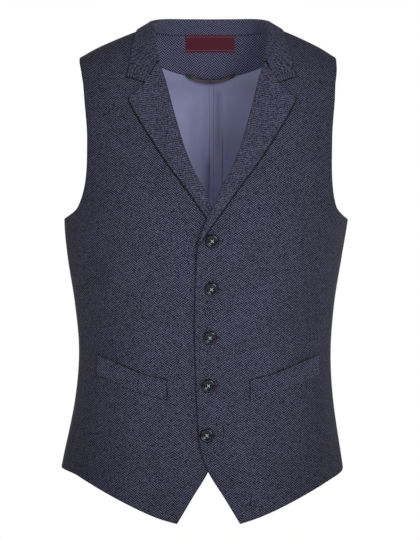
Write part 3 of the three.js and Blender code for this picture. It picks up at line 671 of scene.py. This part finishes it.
centre = column([(-651, 0), (-583, -0.5), (-537, -2), (-471, 0), (-409, 2), (-346, 4), (-240, 5),
                 (-60, 4.4), (6.5, 2)], 1)
FRONT_WALL, BACK_WALL, LINING_WALL, FACING_WALL, LAPEL_WALL = 2.4, 1.8, 1.0, 1.6, 2.0
LAYER_GAP, FACING_GAP, BEHIND_ROLL = 0.5, 0.2, 2.3


def smooth(low, high, value):
    """An eased step t^2 (3 - 2t): 0 up to low, 1 from high on."""
    t = np.clip((value - low) / (high - low), 0, 1)
    return t * t * (3 - 2 * t)


def lap_lift(turn, z):
    """How far the wearer's left front stands off: over the lap, and over the end of the lapel."""
    x = body(turn, z)[..., 0] - centre(z)
    lap = (FRONT_WALL + LAYER_GAP) * (1 - smooth(24, 60, x))
    lapel_end = ((LAPEL_WALL + 1.9) * smooth(-325, -285, z) * (1 - smooth(-236, -190, z))
                 * (1 - smooth(22, 60, x)))
    return lap + lapel_end


def lift_of(side, turn, z):
    """The stand of a front: only the wearer's left one laps over the other."""
    return lap_lift(turn, z) if side > 0 else 0 * z


def front_inner(side):
    """The lapping edge, the roll line, and the neckline under the collar."""
    def place(z, width):
        return np.stack([LAY * front_lay(centre(z) + side * width, z), z], -1)
    z, past = np.array(FRONT_EDGE, float).T
    edge = path(place(z, -past))
    z, width = np.array(ROLL_LINE, float).T
    roll = path(place(z, width + BEHIND_ROLL))
    neck = path([*place(*np.array(NECKLINE).T), seam_line(side, False, NECK_Z, 0)(0.0)])
    return bent(0.5, edge, bent(0.8, roll, neck))


def lapel_outline(side):
    """The lapel's outer edge in the plane of the front."""
    z, x = path(LAPEL_EDGE)(np.linspace(0, 1, 60)).T
    return np.stack([centre(z) + side * x, z], -1)


def welt_outline(side):
    """The upper edge of a welt with its inner end, and its lower edge."""
    top = path(WELT_TOP)(np.linspace(0, 1, 24)) * (side, 1)
    low = top - (0, WELT_HEIGHT)
    return np.concatenate([low[:1], top]), low


mouth = lengths(path(WELT_TOP)(np.linspace(0, 1, 24))[None], 1)[0, -1]
print("welt mouth:", round(float(mouth)), "mm")

# %% The two fronts
BOTH = ((1, "left"), (-1, "right"))
BUTTON_ROWS, RADIUS, HEIGHT = [-283, -345.8, -409, -472, -536.5], 8.6, 3.3
DARTS = {1: [(-330, 98.7), (-446, 98.7)],
         -1: [(-330, -98.7), (-446, -98.7), (-475, -107), (-608, -111)]}
STITCH_INSET, FACED_WIDTH = 6, 62


def front(side, name):
    """One front, with the marks of its stitches and its dart, and painted shade under what lies on it
    and towards its sides.
    """
    inner, outer = front_inner(side), outer_side(side, ARMHOLE_FRONT, False)
    x, z = np.array(HEM_FRONT, float).T
    hem = np.stack([LAY * front_lay(0.1 * lean(z) + side * x, z), z], -1)
    low = path([first(inner), *hem, first(outer)])
    bounds = low, seam_line(side, False, NECK_Z, TIP_Z), inner, outer
    turn, z = placed(bounds, crowd(112, 210), rows_up(190, 640, 0.1, 26), False)
    flat = body(turn, z)
    rim, edge, x = rim_distance(flat), lengths(flat, 1), flat[..., 0]
    dart_z, dart_x = np.array(sorted(DARTS[side])).T
    dart_on = smooth(dart_z[0], dart_z[0] + 30, z) * (1 - smooth(dart_z[-1] - 25, dart_z[-1], z))
    mouth, foot = welt_outline(side)
    # Painted shadows: a dark line under the lapel's edge, along the welt's mouth and its foot, and a
    # ring round each button.
    under = [off_line(x, z, lapel_outline(side)), off_line(x, z, mouth) * 1.6,
             off_line(x, z, foot) * 3]
    if side > 0:
        under += [np.abs(np.hypot(x - centre(row), z - row) - RADIUS) * 1.2
                  for row in np.array(BUTTON_ROWS)]
    # worn is painted shade: darker towards the sides and the hem; the side seams get more painted
    # shade still.
    worn = 0.3 * smooth(0.35, 1.0, np.abs(turn)) + 0.16 * smooth(-470, -640, z)
    marks = {"rim": rim, "stitch": edge - STITCH_INSET + 40 * (1 - smooth(-300, -330, z)),
             "dart": x - np.interp(z, dart_z, dart_x), "dart_on": dart_on,
             "under": np.minimum.reduce(under),
             "shade": worn + 0.22 * smooth(1.1, 1.45, np.abs(turn))}
    sides = two_sides(turn, z, lift_of(side, turn, z), FRONT_WALL, rim)
    panel(name, sides, np.stack([girth(turn, z), z], -1), [suiting, lining], marks,
          "hung", [name.replace("front", "back")], behind=np.where(edge < FACED_WIDTH, 0, 1))


for side, name in BOTH:
    front(side, f"front_{name}")

# %% [markdown]
# ## The backs
# The back can't be seen in the picture. It is cut in the same cloth in two halves with a seam down
# the middle, and left plain.

# %% The two backs
BACK_NECKLINE = [(40, 3.3), (67, 4.1)]
FACING_EDGE = [(18, -54.6), (36, -50.2), (54, -45.2), (70, -39.6), (86, -31.8), (98, -24),
               (106, -17.6), (111, -12.8)]
FACING_MIDDLE_Z, FACING_END_Z = -56, -8
HEM_TURN, NECK_PART = math.radians(140), 0.42


def back_curve(side, rows, centre_z, seam_z):
    """A curve on the back from the centre to the shoulder seam, through the rows of a table."""
    x, z = np.array(rows, float).T
    lay = side * np.pi - front_lay(centre(z) + side * x, z)
    return path([[LAY * side * np.pi, centre_z],
                 *np.stack([LAY * lay, z], -1), seam_line(side, True, seam_z, 0)(0.0)])


def back_bounds(side, neck, corner, seam_z):
    """The four sides of a back that ends at a curve round the neck, and then at the seam."""
    outer = outer_side(side, ARMHOLE_BACK, True)
    middle = path([[LAY * side * np.pi, HEM_BACK_Z], first(neck)])
    low = path([first(middle), [LAY * side * HEM_TURN, HEM_BACK_Z], first(outer)])
    return low, bent(corner, neck, seam_line(side, True, seam_z, TIP_Z)), middle, outer


def back(side, name):
    """One half of the outer back, with painted shade that is darker towards the side."""
    neck = back_curve(side, BACK_NECKLINE, BACK_NECK_Z, NECK_Z)
    bounds = back_bounds(side, neck, NECK_PART, NECK_Z)
    u = np.union1d(crowd(78, 220), [NECK_PART])
    turn, z = placed(bounds, u, rows_up(130, 590, 0.12, 26), True)
    rim = rim_distance(body(turn, z))
    from_front = np.abs(np.arctan2(np.sin(turn), np.cos(turn)))
    marks = {"rim": rim, "shade": 0.2 + 0.32 * smooth(2.1, 1.7, from_front)}
    weave = np.stack([girth(turn, z, side * np.pi), z], -1)
    panel(name, two_sides(turn, z, 0.0, BACK_WALL, rim), weave, [suiting], marks,
          "hung", ["collar"])


for side, name in BOTH:
    back(side, f"back_{name}")

# %% [markdown]
# ## The lining and the facing inside the neck
# The lining hangs loose inside the back. An ease pleat beside the centre seam lets the back stretch,
# and the cloth falls in soft folds towards the bottom of the neck opening. Above it a strip of
# the suiting faces the neck.

# %% Lining and facing
LINING_FOLDS = [  # x, z at the top and the bottom, how wide, how far it stands in
    (20, -58, 22, -330, 3.0, 2.4), (8, -64, 5, -400, 2.2, 1.0), (-14, -80, -20, -190, 6.0, 1.8),
    (-2, -140, 3, -330, 5.0, 3.4), (38, -90, 30, -210, 7.0, 1.3), (-40, -100, -30, -250, 8.0, 1.4),
    (62, -70, 44, -180, 9.0, 1.3), (-66, -80, -50, -190, 9.0, 1.2),
]


def lining_relief(x, z):
    """Soft upright folds: a Gaussian across each line, fading to its ends."""
    high = 0.0
    for x0, z0, x1, z1, width, height in LINING_FOLDS:
        part = np.clip((z - z0) / (z1 - z0), 0, 1)
        fade = smooth(0, 0.12, part) * (1 - smooth(0.6, 1.0, part))
        high = high + height * fade * np.exp(-((x - x0 - (x1 - x0) * part) / width) ** 2)
    return high


def lining_back(side, name):
    """One half of the back's lining. The ease pleat lies on the wearer's left half."""
    edge = back_curve(side, FACING_EDGE, FACING_MIDDLE_Z, FACING_END_Z)
    bounds = back_bounds(side, edge, 0.5, FACING_END_Z)
    u = np.union1d(np.concatenate([np.linspace(0.004, 0.3, 56), np.linspace(0.31, 0.99, 44)]),
                   [0, 0.001, 0.002, 0.5, 0.997, 1])
    turn, z = placed(bounds, u, rows_up(120, 560, 0.12, 22), True)
    flat = body(turn, z)
    rim, x = rim_distance(flat), flat[..., 0]
    fold = lining_relief(x, z) * (x * side > -0.5)
    # Painted shade: a band beside the pleat, a dark fold down the middle, a band under the facing's
    # edge and a little all over.
    pleat_shade = 0.24 * np.exp(-((x - 13) / 3.5) ** 2)
    pleat_shade = pleat_shade * smooth(-172, -140, z) * (1 - smooth(-76, -64, z))
    tuck_shade = 0.3 * np.exp(-((x + 1) / 4) ** 2) * (1 - smooth(-178, -160, z))
    marks = {"rim": rim if side < 0 else np.where(x > 20, rim, FAR),
             "shade": 0.12 + 0.12 * np.exp(-((z + 64) / 14) ** 2) + pleat_shade + tuck_shade,
             "stitch": x - 7, "dart": x - 19.4,
             "dart_on": (side > 0) * (1 - smooth(-150, -115, z))}
    weave = np.stack([girth(turn, z, side * np.pi), z], -1)
    sides = two_sides(turn, z, -BACK_WALL - LAYER_GAP - fold, LINING_WALL, rim)
    panel(name, sides, weave, [lining], marks, "hung", [name.replace("lining_", "")])


def facing():
    """The facing as one grid, from the wearer's right shoulder seam round to the left one."""
    halves = []
    for side in (-1, 1):
        edge = back_curve(side, FACING_EDGE, FACING_MIDDLE_Z, FACING_END_Z)
        neck = back_curve(side, BACK_NECKLINE, BACK_NECK_Z, NECK_Z)
        seam = seam_line(side, True, FACING_END_Z, NECK_Z)
        u = np.union1d(np.linspace(0, 1, 70), 1 - np.linspace(0.1, 0, 8) ** 2)
        grid = patch(edge, neck, path([first(edge), first(neck)]), seam, u, crowd(26, 66))
        halves.append(grid[:, ::-1] if side < 0 else grid[:, 1:])
    lay, z = np.moveaxis(np.concatenate(halves, 1), -1, 0)
    turn = turn_of(lay / LAY, z, True)
    turn = np.where(turn < 0, turn + 2 * np.pi, turn)
    flat = body(turn, z)
    rim = rim_distance(flat)
    lift = -BACK_WALL - LAYER_GAP - FACING_GAP
    _, inside = two_sides(turn, z, lift, FACING_WALL, rim)
    rim = without_top(rim, flat)
    points, _ = two_sides(turn, z, lift, FACING_WALL, rim)
    weave = np.stack([girth(turn, z, np.pi), 0.93 * z], -1)
    piece = sheet("back_neck_facing", (points, inside), weave, [inside_cloth], {"rim": rim})
    return piece, points


for side, name in BOTH:
    lining_back(side, f"lining_back_{name}")
neck_facing, facing_cloth = facing()

# %% [markdown]
# ## The lapels
# A lapel is the top of the front turned back on itself. It rolls over softly at the roll line, lies
# on the chest and ends in a point below the notch. Its profile across is a small round roll and
# then a nearly flat run to the edge, carried up along the roll line.

# %% The two lapels
# How far across from the roll line, and how high the two sides stand.
ROLL_OUT = path([(0.7, -2.3), (0.2, -1.7), (0, -0.8), (0, 0.2), (0.15, 1.1), (0.6, 2.0),
                 (1.5, 2.7), (3, 3.15), (5, 3.3)])
ROLL_IN = path([(1.1, -2.3), (0.95, -1.7), (0.85, -0.8), (0.85, 0.0), (0.95, 0.25), (1.2, 0.36),
                (1.8, 0.5), (3, 0.65), (5, 0.8)])
ROLL_STEPS, ROLL_TOP, LAPEL_GAP, BELLY, GORGE = 22, 3.3, 0.4, 0.9, (70, -45)


def lapel(side, name):
    """One lapel: on each side the roll first, and then the run out to the edge."""
    roll, edge = (path(np.array(rows, float)[:, ::-1]) for rows in (ROLL_LINE, LAPEL_EDGE))
    tip = edge(np.ones(1))[0]
    top = bent(0.5, path([GORGE, NOTCH_CORNER]), path([NOTCH_CORNER, tip]))
    low = path([first(roll), first(edge)])
    close = [0.965, 0.98, 0.99, 0.995, 0.9975, 0.999, 1]
    rest = np.concatenate([np.linspace(0, 1, 34)[1:-2], close])
    v = crowd(150, 270)
    width = np.linalg.norm(edge(v) - roll(v), axis=1)[:, None]
    belly = BELLY * np.sin(np.pi * rest) * np.clip(width / 60, 0, 1)
    rest_lift = ROLL_TOP + (LAPEL_WALL + LAPEL_GAP - ROLL_TOP) * rest + belly
    sides, rim = [], None
    for profile, lift, bend in ((ROLL_OUT, rest_lift, -1),
                                (ROLL_IN, rest_lift - LAPEL_WALL - belly * 0.6, 1)):
        across, high = profile(np.linspace(0, 1, ROLL_STEPS)).T
        fold = np.minimum(across / width, 0.18 * across)
        part = np.concatenate([fold, fold[:, -1:] + (1 - fold[:, -1:]) * rest], 1)
        x, z = np.moveaxis(patch(low, top, roll, edge, part, v), -1, 0)
        turn = front_turn(centre(z) + side * x, z)
        if rim is None:
            flat = body(turn, z)
            rim = without_top(rim_distance(flat), flat, part[-1] < 0.5)
            rim[:, :ROLL_STEPS] = FAR
        lift = np.concatenate([np.broadcast_to(high, fold.shape), lift], 1)
        lift = lift_of(side, turn, z) + lift + bend * rounding(rim, LAPEL_WALL)
        sides.append(stand(turn, z, lift))
    up_roll = lengths(roll(v)[:, None], 0)
    weave = np.stack(np.broadcast_arrays(lengths(sides[0], 1), up_roll), -1)
    panel(name, sides, weave, [lapel_cloth], {"rim": rim}, "folded",
          [name.replace("lapel", "front")])


for side, name in BOTH:
    lapel(side, f"lapel_{name}")

# %% [markdown]
# ## The collar
# The collar rises from the neck seam, turns over and falls on the shoulders, and is widest in front,
# where it meets the lapel at the notch. Seven stations along it give its foot, the top of its fold
# and its outer edge. Between them everything is blended.

# %% The collar
COLLAR_STATIONS = [  # along, roll x, y, z, foot x, z, edge x, z
    (0, 70, -60, -44.6, 73.7, -44.4, 112.8, -66), (1, 74.5, -47, -21, 76.8, -22, 107, -40),
    (2, 76.3, -23, 1, 79.8, -3, 102.5, -19), (3, 75.5, 3, 12, 80.6, 5.5, 95, 1.4),
    (4, 60, 34, 18.5, 62, 4.9, 78, -13), (5, 33, 52, 20.5, 34, 3.8, 41, -19),
    (6, 0, 58, 21, 0, 3.2, 0, -21),
]
COLLAR_WALL, FOLD_RADIUS, EDGE_LIFT = 2.0, 2.9, 0.7
# Columns of the fine grid: the stand inside the neck, and what the gorge seam takes in.
STAND_COLUMNS, SEWN_COLUMNS = 16, 33


def finer(points, times):
    """More points across a grid: a Catmull-Rom cubic through each four neighbours."""
    before, past = 2 * points[:, :1] - points[:, 1:2], 2 * points[:, -1:] - points[:, -2:-1]
    ends = np.concatenate([before, points, past], 1)[:, :, None]
    a, b, c, d = ends[:, :-3], ends[:, 1:-2], ends[:, 2:-1], ends[:, 3:]
    t = np.linspace(0, 1, times, endpoint=False)[None, None, :, None]
    curve = 0.5 * (2 * b + (c - a) * t + (2 * a - 5 * b + 4 * c - d) * t ** 2
                   + (3 * b - a - 3 * c + d) * t ** 3)
    return np.concatenate([curve.reshape(len(points), -1, 3), points[:, -1:]], 1)


def collar_half(station, side):
    """The points across the collar, from its foot over the fold to its outer edge."""
    roll_x, roll_y, roll_z, foot_x, foot_z, edge_x, edge_z = (
        column(COLLAR_STATIONS, k)(station) for k in range(1, 8))

    def on_body(x, z, lift):
        """A place on the torso, ahead of the shoulder seam or behind it, from its middle."""
        ahead = front_turn(lean(z) + x, z)
        point = stand(np.where(station > 3, np.pi - ahead, ahead), z, lift + 0 * z)
        point[..., 0] -= lean(z)
        return point

    roll = np.stack([roll_x, roll_y, roll_z], -1)
    edge, neck = on_body(edge_x, edge_z, EDGE_LIFT), on_body(foot_x, foot_z, 0.0)
    rise = unit(roll - (neck + edge) / 2)
    across = on_body(edge_x, edge_z, EDGE_LIFT + 10) - edge
    across = unit(across - (across * rise).sum(-1, keepdims=True) * rise)
    middle = roll - FOLD_RADIUS * rise
    behind = smooth(2.4, 3.4, station)[:, None]
    under_facing = -BACK_WALL - LAYER_GAP - FACING_WALL - FACING_GAP
    inner = on_body(foot_x, foot_z, under_facing) - 0.4 * rise
    foot = (1 - behind) * (neck - COLLAR_WALL * across + 0.8 * rise) + behind * inner
    bend = [middle - across * FOLD_RADIUS * math.cos(math.pi * p)
            + rise * FOLD_RADIUS * math.sin(math.pi * p) for p in (0, 0.25, 0.5, 0.75, 1)]
    notch_x, notch_z = NOTCH_CORNER[0] + 0.3, NOTCH_CORNER[1] - 0.5
    notch = on_body(notch_x + 0 * station, notch_z + 0 * station, EDGE_LIFT)
    pull = np.maximum(0, 1 - 1.5 * station)[:, None]
    belly = (bend[-1] * 0.4 + edge * 0.6) * (1 - pull) + notch * pull
    fall = [bend[-1] + (belly - bend[-1]) * t for t in (1 / 3, 2 / 3, 1)]
    end = [belly + (edge - belly) * t for t in (0.5, 1)]
    points = np.stack([foot, (foot + bend[0]) / 2, *bend, *fall, *end], 1)
    points[..., 0] = centre(roll_z)[:, None] + side * points[..., 0]
    return points


def collar():
    """The collar from the wearer's left gorge seam round the neck to the right one."""
    along = np.concatenate([[0, 0.01, 0.025, 0.05, 0.09], np.linspace(0.14, 6, 110)])
    halves = [collar_half(along, 1), collar_half(along, -1)[::-1][1:]]
    grid = finer(np.concatenate(halves), 4)
    part = np.linspace(0, 1, 7)[1:, None]
    last = grid[:, -2:-1] + (grid[:, -1:] - grid[:, -2:-1]) * part[None]
    grid = np.concatenate([grid[:, :-1], last], 1)
    normal = unit(np.cross(np.gradient(grid, axis=1), np.gradient(grid, axis=0)))
    rim, along, across = rim_distance(grid), lengths(grid, 0), lengths(grid, 1)
    column_of = np.arange(grid.shape[1])
    ends = np.minimum(along, along[-1:] - along)
    rim = np.where((column_of < SEWN_COLUMNS) & (rim >= ends - 1e-6), FAR, rim)
    rim = np.where(rim == across, FAR, rim)
    inset = rounding(rim, COLLAR_WALL)[..., None]
    sides = grid + normal * inset, grid + normal * (COLLAR_WALL - inset)
    weave = np.stack([along - along[len(along) // 2], across], -1)
    inner = column_of[None] < STAND_COLUMNS
    # Painted shade over the collar, more on the stand inside the neck.
    marks = {"rim": rim, "shade": np.where(inner, 0.2, 0.14)}
    panel("collar", sides, weave, [inside_cloth, lapel_cloth], marks, "folded",
          ["back_left", "back_right", "front_left", "front_right"], behind=~inner, ahead=1)


collar()

# %% [markdown]
# ## The welt pockets
# Each pocket has a slanting strip sewn on at its foot and at both ends, with the mouth along its
# upper edge. The weave of the strip runs on from the front.

# %% The two welts
WELT_WALL, WELT_LIFT = 1.0, 1.2


def welt(side, name):
    """One strip over the front. It is sewn down everywhere but along its top."""
    u, v = crowd(60, 98), crowd(18, 27)
    top = path(WELT_TOP)(u)
    x = np.broadcast_to(side * top[None, :, 0], (len(v), len(u)))
    z = top[None, :, 1] - WELT_HEIGHT * (1 - v[:, None])
    turn = front_turn(x, z)
    flat = body(turn, z)
    rim, low = rim_distance(flat), lengths(flat, 0)
    sides = two_sides(turn, z, lift_of(side, turn, z) + WELT_LIFT, WELT_WALL, rim)
    marks = {"rim": np.where(rim < low - 1e-6, rim, 3 * low)}
    panel(name, sides, np.stack([girth(turn, z), z], -1), [suiting], marks, "laid",
          [name.replace("welt", "front")])


for side, name in BOTH:
    welt(side, f"welt_{name}")

# %% [markdown]
# ## The label and the hanger loop
# The label is a small woven strip sewn to the facing, bare here. The loop under it is a folded tape
# that sags a little between its two sewn ends.

# %% Label and loop
LABEL_LOW, LABEL_HIGH, LABEL_MIDDLE, LABEL_WIDTH = -18.5, 4.6, 2.2, 67.5
LOOP_START, LOOP_WIDTH, LOOP_TOP, LOOP_SAG, LOOP_HEIGHT = -31, 68, -46.5, 8, 4.2


def neck_strip(name, material, x, z, lift, wall, marks):
    """A strip inside the back neck, over a grid of x and z, and its cloth."""
    x, z = np.broadcast_arrays(x, z)
    turn = np.pi - front_turn(x, z)
    rim = rim_distance(body(turn, z))
    sides = two_sides(turn, z, lift + 0 * z, wall, rim)
    piece = sheet(name, sides, np.stack([x, z], -1), [material], {"rim": rim, **marks})
    return piece, sides[0]


inner_face = -BACK_WALL - LAYER_GAP - FACING_WALL
u, v = crowd(60, 64, 0.5), crowd(26, 23, 0.5)
z = (LABEL_LOW + (LABEL_HIGH - LABEL_LOW) * v)[:, None]
x = (LABEL_MIDDLE + LABEL_WIDTH * (u - 0.5))[None]
stitch = np.minimum(z - LABEL_LOW, LABEL_HIGH - z) - 2.6
label, cloth = neck_strip("label", label_cloth, x, z, inner_face - 0.75, 1.0,
                          {"stitch": stitch})
cut_to(cloth)

u, v = crowd(70, 61, 0.5), crowd(8, 4.5, 0.35)
x = (LOOP_START + LOOP_WIDTH * u)[None]
z = LOOP_TOP - (LOOP_SAG * 4 * u * (1 - u))[None] - LOOP_HEIGHT * (1 - v[:, None])
lift = inner_face - 1.1 - 2.6 * np.sin(np.pi * u[None]) ** 0.5
# Painted shadow at both sewn ends of the loop and in its middle.
loop_shadow = 0.75 * smooth(0.34, 0.45, np.abs(u - 0.5)) + 0.6 * np.exp(-((u - 0.5) / 0.06) ** 2)
loop, cloth = neck_strip("hanger_loop", tape, x, z, lift, 1.3, {"shade": loop_shadow[None]})
cut_to(facing_cloth)

# %% [markdown]
# ## Buttons and buttonholes
# The buttons have a raised, rounded rim, a dished middle and four holes. The dish and the holes are
# one height over a round grid. Two crossed strands of thread hold each one. Beside it shows the end
# of its buttonhole, worked over with dark thread.

# %% Buttons
PROFILE = path(np.array([(0, 0.56), (0.3, 0.56), (0.50, 0.57), (0.60, 0.66), (0.68, 0.88),
                         (0.77, 1.0), (0.86, 0.96), (0.95, 0.78), (1, 0.48), (0.95, 0.22),
                         (0.8, 0.04), (0.5, 0)]) * (RADIUS, HEIGHT))
HOLE_OFF, HOLE_DEPTH, FACE_RINGS = 1.8, 1.3, 50


def set_on(points, z):
    """Points across, up and out from a button's seat on the front, at the height z."""
    z = np.array(float(z))
    turn = front_turn(centre(z), z)
    seat = stand(turn, z, lap_lift(turn, z) + 0.3)
    out = outward(turn, z)
    across = np.array([1.0, 0, 0]) - out[0] * out
    across /= np.linalg.norm(across)
    up = np.cross(out, across) * -1
    return seat + points[..., :1] * across + points[..., 1:2] * up + points[..., 2:] * out


def button(number, z):
    """The profile turned round, with four holes pressed into its face and its middles closed."""
    t = np.concatenate([np.linspace(0.004, 0.4, 34), np.linspace(0.41, 1, 44)])
    r, h = PROFILE(t).T
    angle = np.linspace(0, 2 * np.pi, 72, endpoint=False)
    x, y = r[:, None] * np.cos(angle), r[:, None] * np.sin(angle)
    hole = sum(smooth(1.25, 0.85, np.hypot(x - a, y - b))
               for a in (-HOLE_OFF, HOLE_OFF) for b in (-HOLE_OFF, HOLE_OFF))
    hole = hole * (np.arange(len(t)) < FACE_RINGS)[:, None]
    points = np.stack([x, y, h[:, None] - HOLE_DEPTH * hole], -1).reshape(-1, 3)
    middles = points[[0, -1]] * (0, 0, 1)
    ring = np.arange(len(points)).reshape(len(t), len(angle))
    after = np.roll(ring, -1, axis=1)
    top, foot = (np.full(len(angle), len(points) + k) for k in (0, 1))
    faces = [np.stack([ring[1:], after[1:], after[:-1], ring[:-1]], -1).reshape(-1, 4),
             np.stack([after[0], ring[0], top], -1), np.stack([ring[-1], after[-1], foot], -1)]
    marks = {"hole": np.concatenate([np.clip(hole, 0, 1).ravel(), [0, 0]])}
    piece = make_piece(f"button_{number}", "_cast", set_on(np.concatenate([points, middles]), z),
                       [face for part in faces for face in part.tolist()], [button_resin], marks)
    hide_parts(f"button_{number}")


def tube(line, radius, closed=False):
    """A round strand along a line: circles square to it, thin at the ends of an open one."""
    ahead = np.roll(line, -1, 0) - np.roll(line, 1, 0) if closed else np.gradient(line, axis=0)
    ahead = unit(ahead)
    side = unit(np.cross(ahead, np.broadcast_to(np.array([0, -1.0, 0]), line.shape)))
    out = np.cross(side, ahead)
    angle = np.linspace(0, 2 * np.pi, 10, endpoint=False)[None, :, None]
    ring = side[:, None] * np.cos(angle) + out[:, None] * np.sin(angle)
    size = radius * np.ones(len(line)) if closed else radius * np.sqrt(
        np.clip(1 - (2 * np.linspace(0, 1, len(line)) - 1) ** 12, 0.02, 1))
    points = line[:, None] + ring * size[:, None, None]
    number = np.arange(points[..., 0].size).reshape(len(line), -1)
    following = np.roll(number, -1, axis=0)
    faces = np.stack([number, np.roll(number, -1, 1), np.roll(following, -1, 1), following], -1)
    faces = faces[:len(line) if closed else -1].reshape(-1, 4).tolist()
    caps = [] if closed else [number[0].tolist(), number[-1][::-1].tolist()]
    return points.reshape(-1, 3), faces + caps


def strands(name, tubes, material):
    """Several strands as one mesh."""
    faces, start = [], 0
    for points, own in tubes:
        faces += [[number + start for number in face] for face in own]
        start += len(points)
    points = np.concatenate([points for points, own in tubes])
    piece = make_piece(name, "", points, faces, [material], BLANK, points[:, [0, 2]])


def sew_on(number, z):
    """The crossed strands in the button's holes, and the buttonhole that it closes."""
    t = np.linspace(-1, 1, 13)
    arch = HEIGHT * 0.60 + 0.62 * np.sqrt(np.clip(1 - t ** 4, 0, 1)) - 0.5 * t ** 8
    crossed = [set_on(np.stack([2.1 * t, way * 2.1 * t, arch + (0.35 if way > 0 else 0)], -1), z)
               for way in (1, -1)]
    strands(f"button_thread_{number}", [tube(line, 0.56) for line in crossed], thread)
    t = np.linspace(0, 2 * np.pi, 48, endpoint=False)
    hole_z = z + 0.75 * np.sin(t) * (1.25 - 0.25 * np.cos(t))
    turn = front_turn(centre(hole_z) + (5.5 + 9.2 * np.cos(t)), hole_z)
    line = stand(turn, hole_z, lap_lift(turn, hole_z) + 0.25)
    strands(f"buttonhole_{number}", [tube(line, 0.55, closed=True)], dark_thread)


for number, z in enumerate(BUTTON_ROWS, 1):
    button(number, z)
    sew_on(number, z)
print("buttons:", len(BUTTON_ROWS))

# %% [markdown]
# ## Floor and light
# The floor is plain and pale and lies well below, so that the waistcoat hangs free in a bright room.
# A broad soft light from the front, a little from the wearer's left, gives the cloth its roundness:
# what turns away gets darker.

# %% Floor and light
FLOOR_SIZE, FLOOR_Z, ROOM_LIGHT, AIM = 32, -2.6, 0.22, (0, 0, -0.3)
bpy.ops.mesh.primitive_plane_add(size=FLOOR_SIZE, location=(0, 0, FLOOR_Z))
floor = bpy.context.object
floor.name = "floor"
pale = Finish("floor", Roughness=0.9, Base_Color=(0.86, 0.86, 0.86, 1),
              Emission_Color=(1, 1, 1, 1), Emission_Strength=0.45)
floor.data.materials.append(pale.material)

world = bpy.data.worlds.new("room")
world.use_nodes = True
sky = world.node_tree.nodes["Background"]
sky.inputs["Color"].default_value = (1, 1, 1, 1)
camera_sees = world.node_tree.nodes.new("ShaderNodeLightPath")
strength = world.node_tree.nodes.new("ShaderNodeMapRange")
strength.inputs["To Min"].default_value = ROOM_LIGHT
strength.inputs["To Max"].default_value = 1.0
world.node_tree.links.new(camera_sees.outputs["Is Camera Ray"], strength.inputs["Value"])
world.node_tree.links.new(strength.outputs[0], sky.inputs["Strength"])
scene.world = world


def softbox(name, place, size, power):
    """A square lamp that looks at the middle of the waistcoat."""
    data = bpy.data.lights.new(name, "AREA")
    data.size, data.energy = size, power
    lamp = bpy.data.objects.new(name, data)
    lamp.location = place
    back_to = np.array(place) - np.array(AIM)
    lamp.rotation_euler = (math.acos(back_to[2] / np.linalg.norm(back_to)), 0,
                           math.atan2(back_to[1], back_to[0]) + math.pi / 2)
    scene.collection.objects.link(lamp)


softbox("key", (1.2, -3.0, 0.8), 1.2, 46)
softbox("sparkle", (-1.6, -2.9, 1.0), 0.5, 5)
softbox("back", (-0.6, 3.2, 0.6), 1.6, 44)
print("lamps:", len(bpy.data.lights))
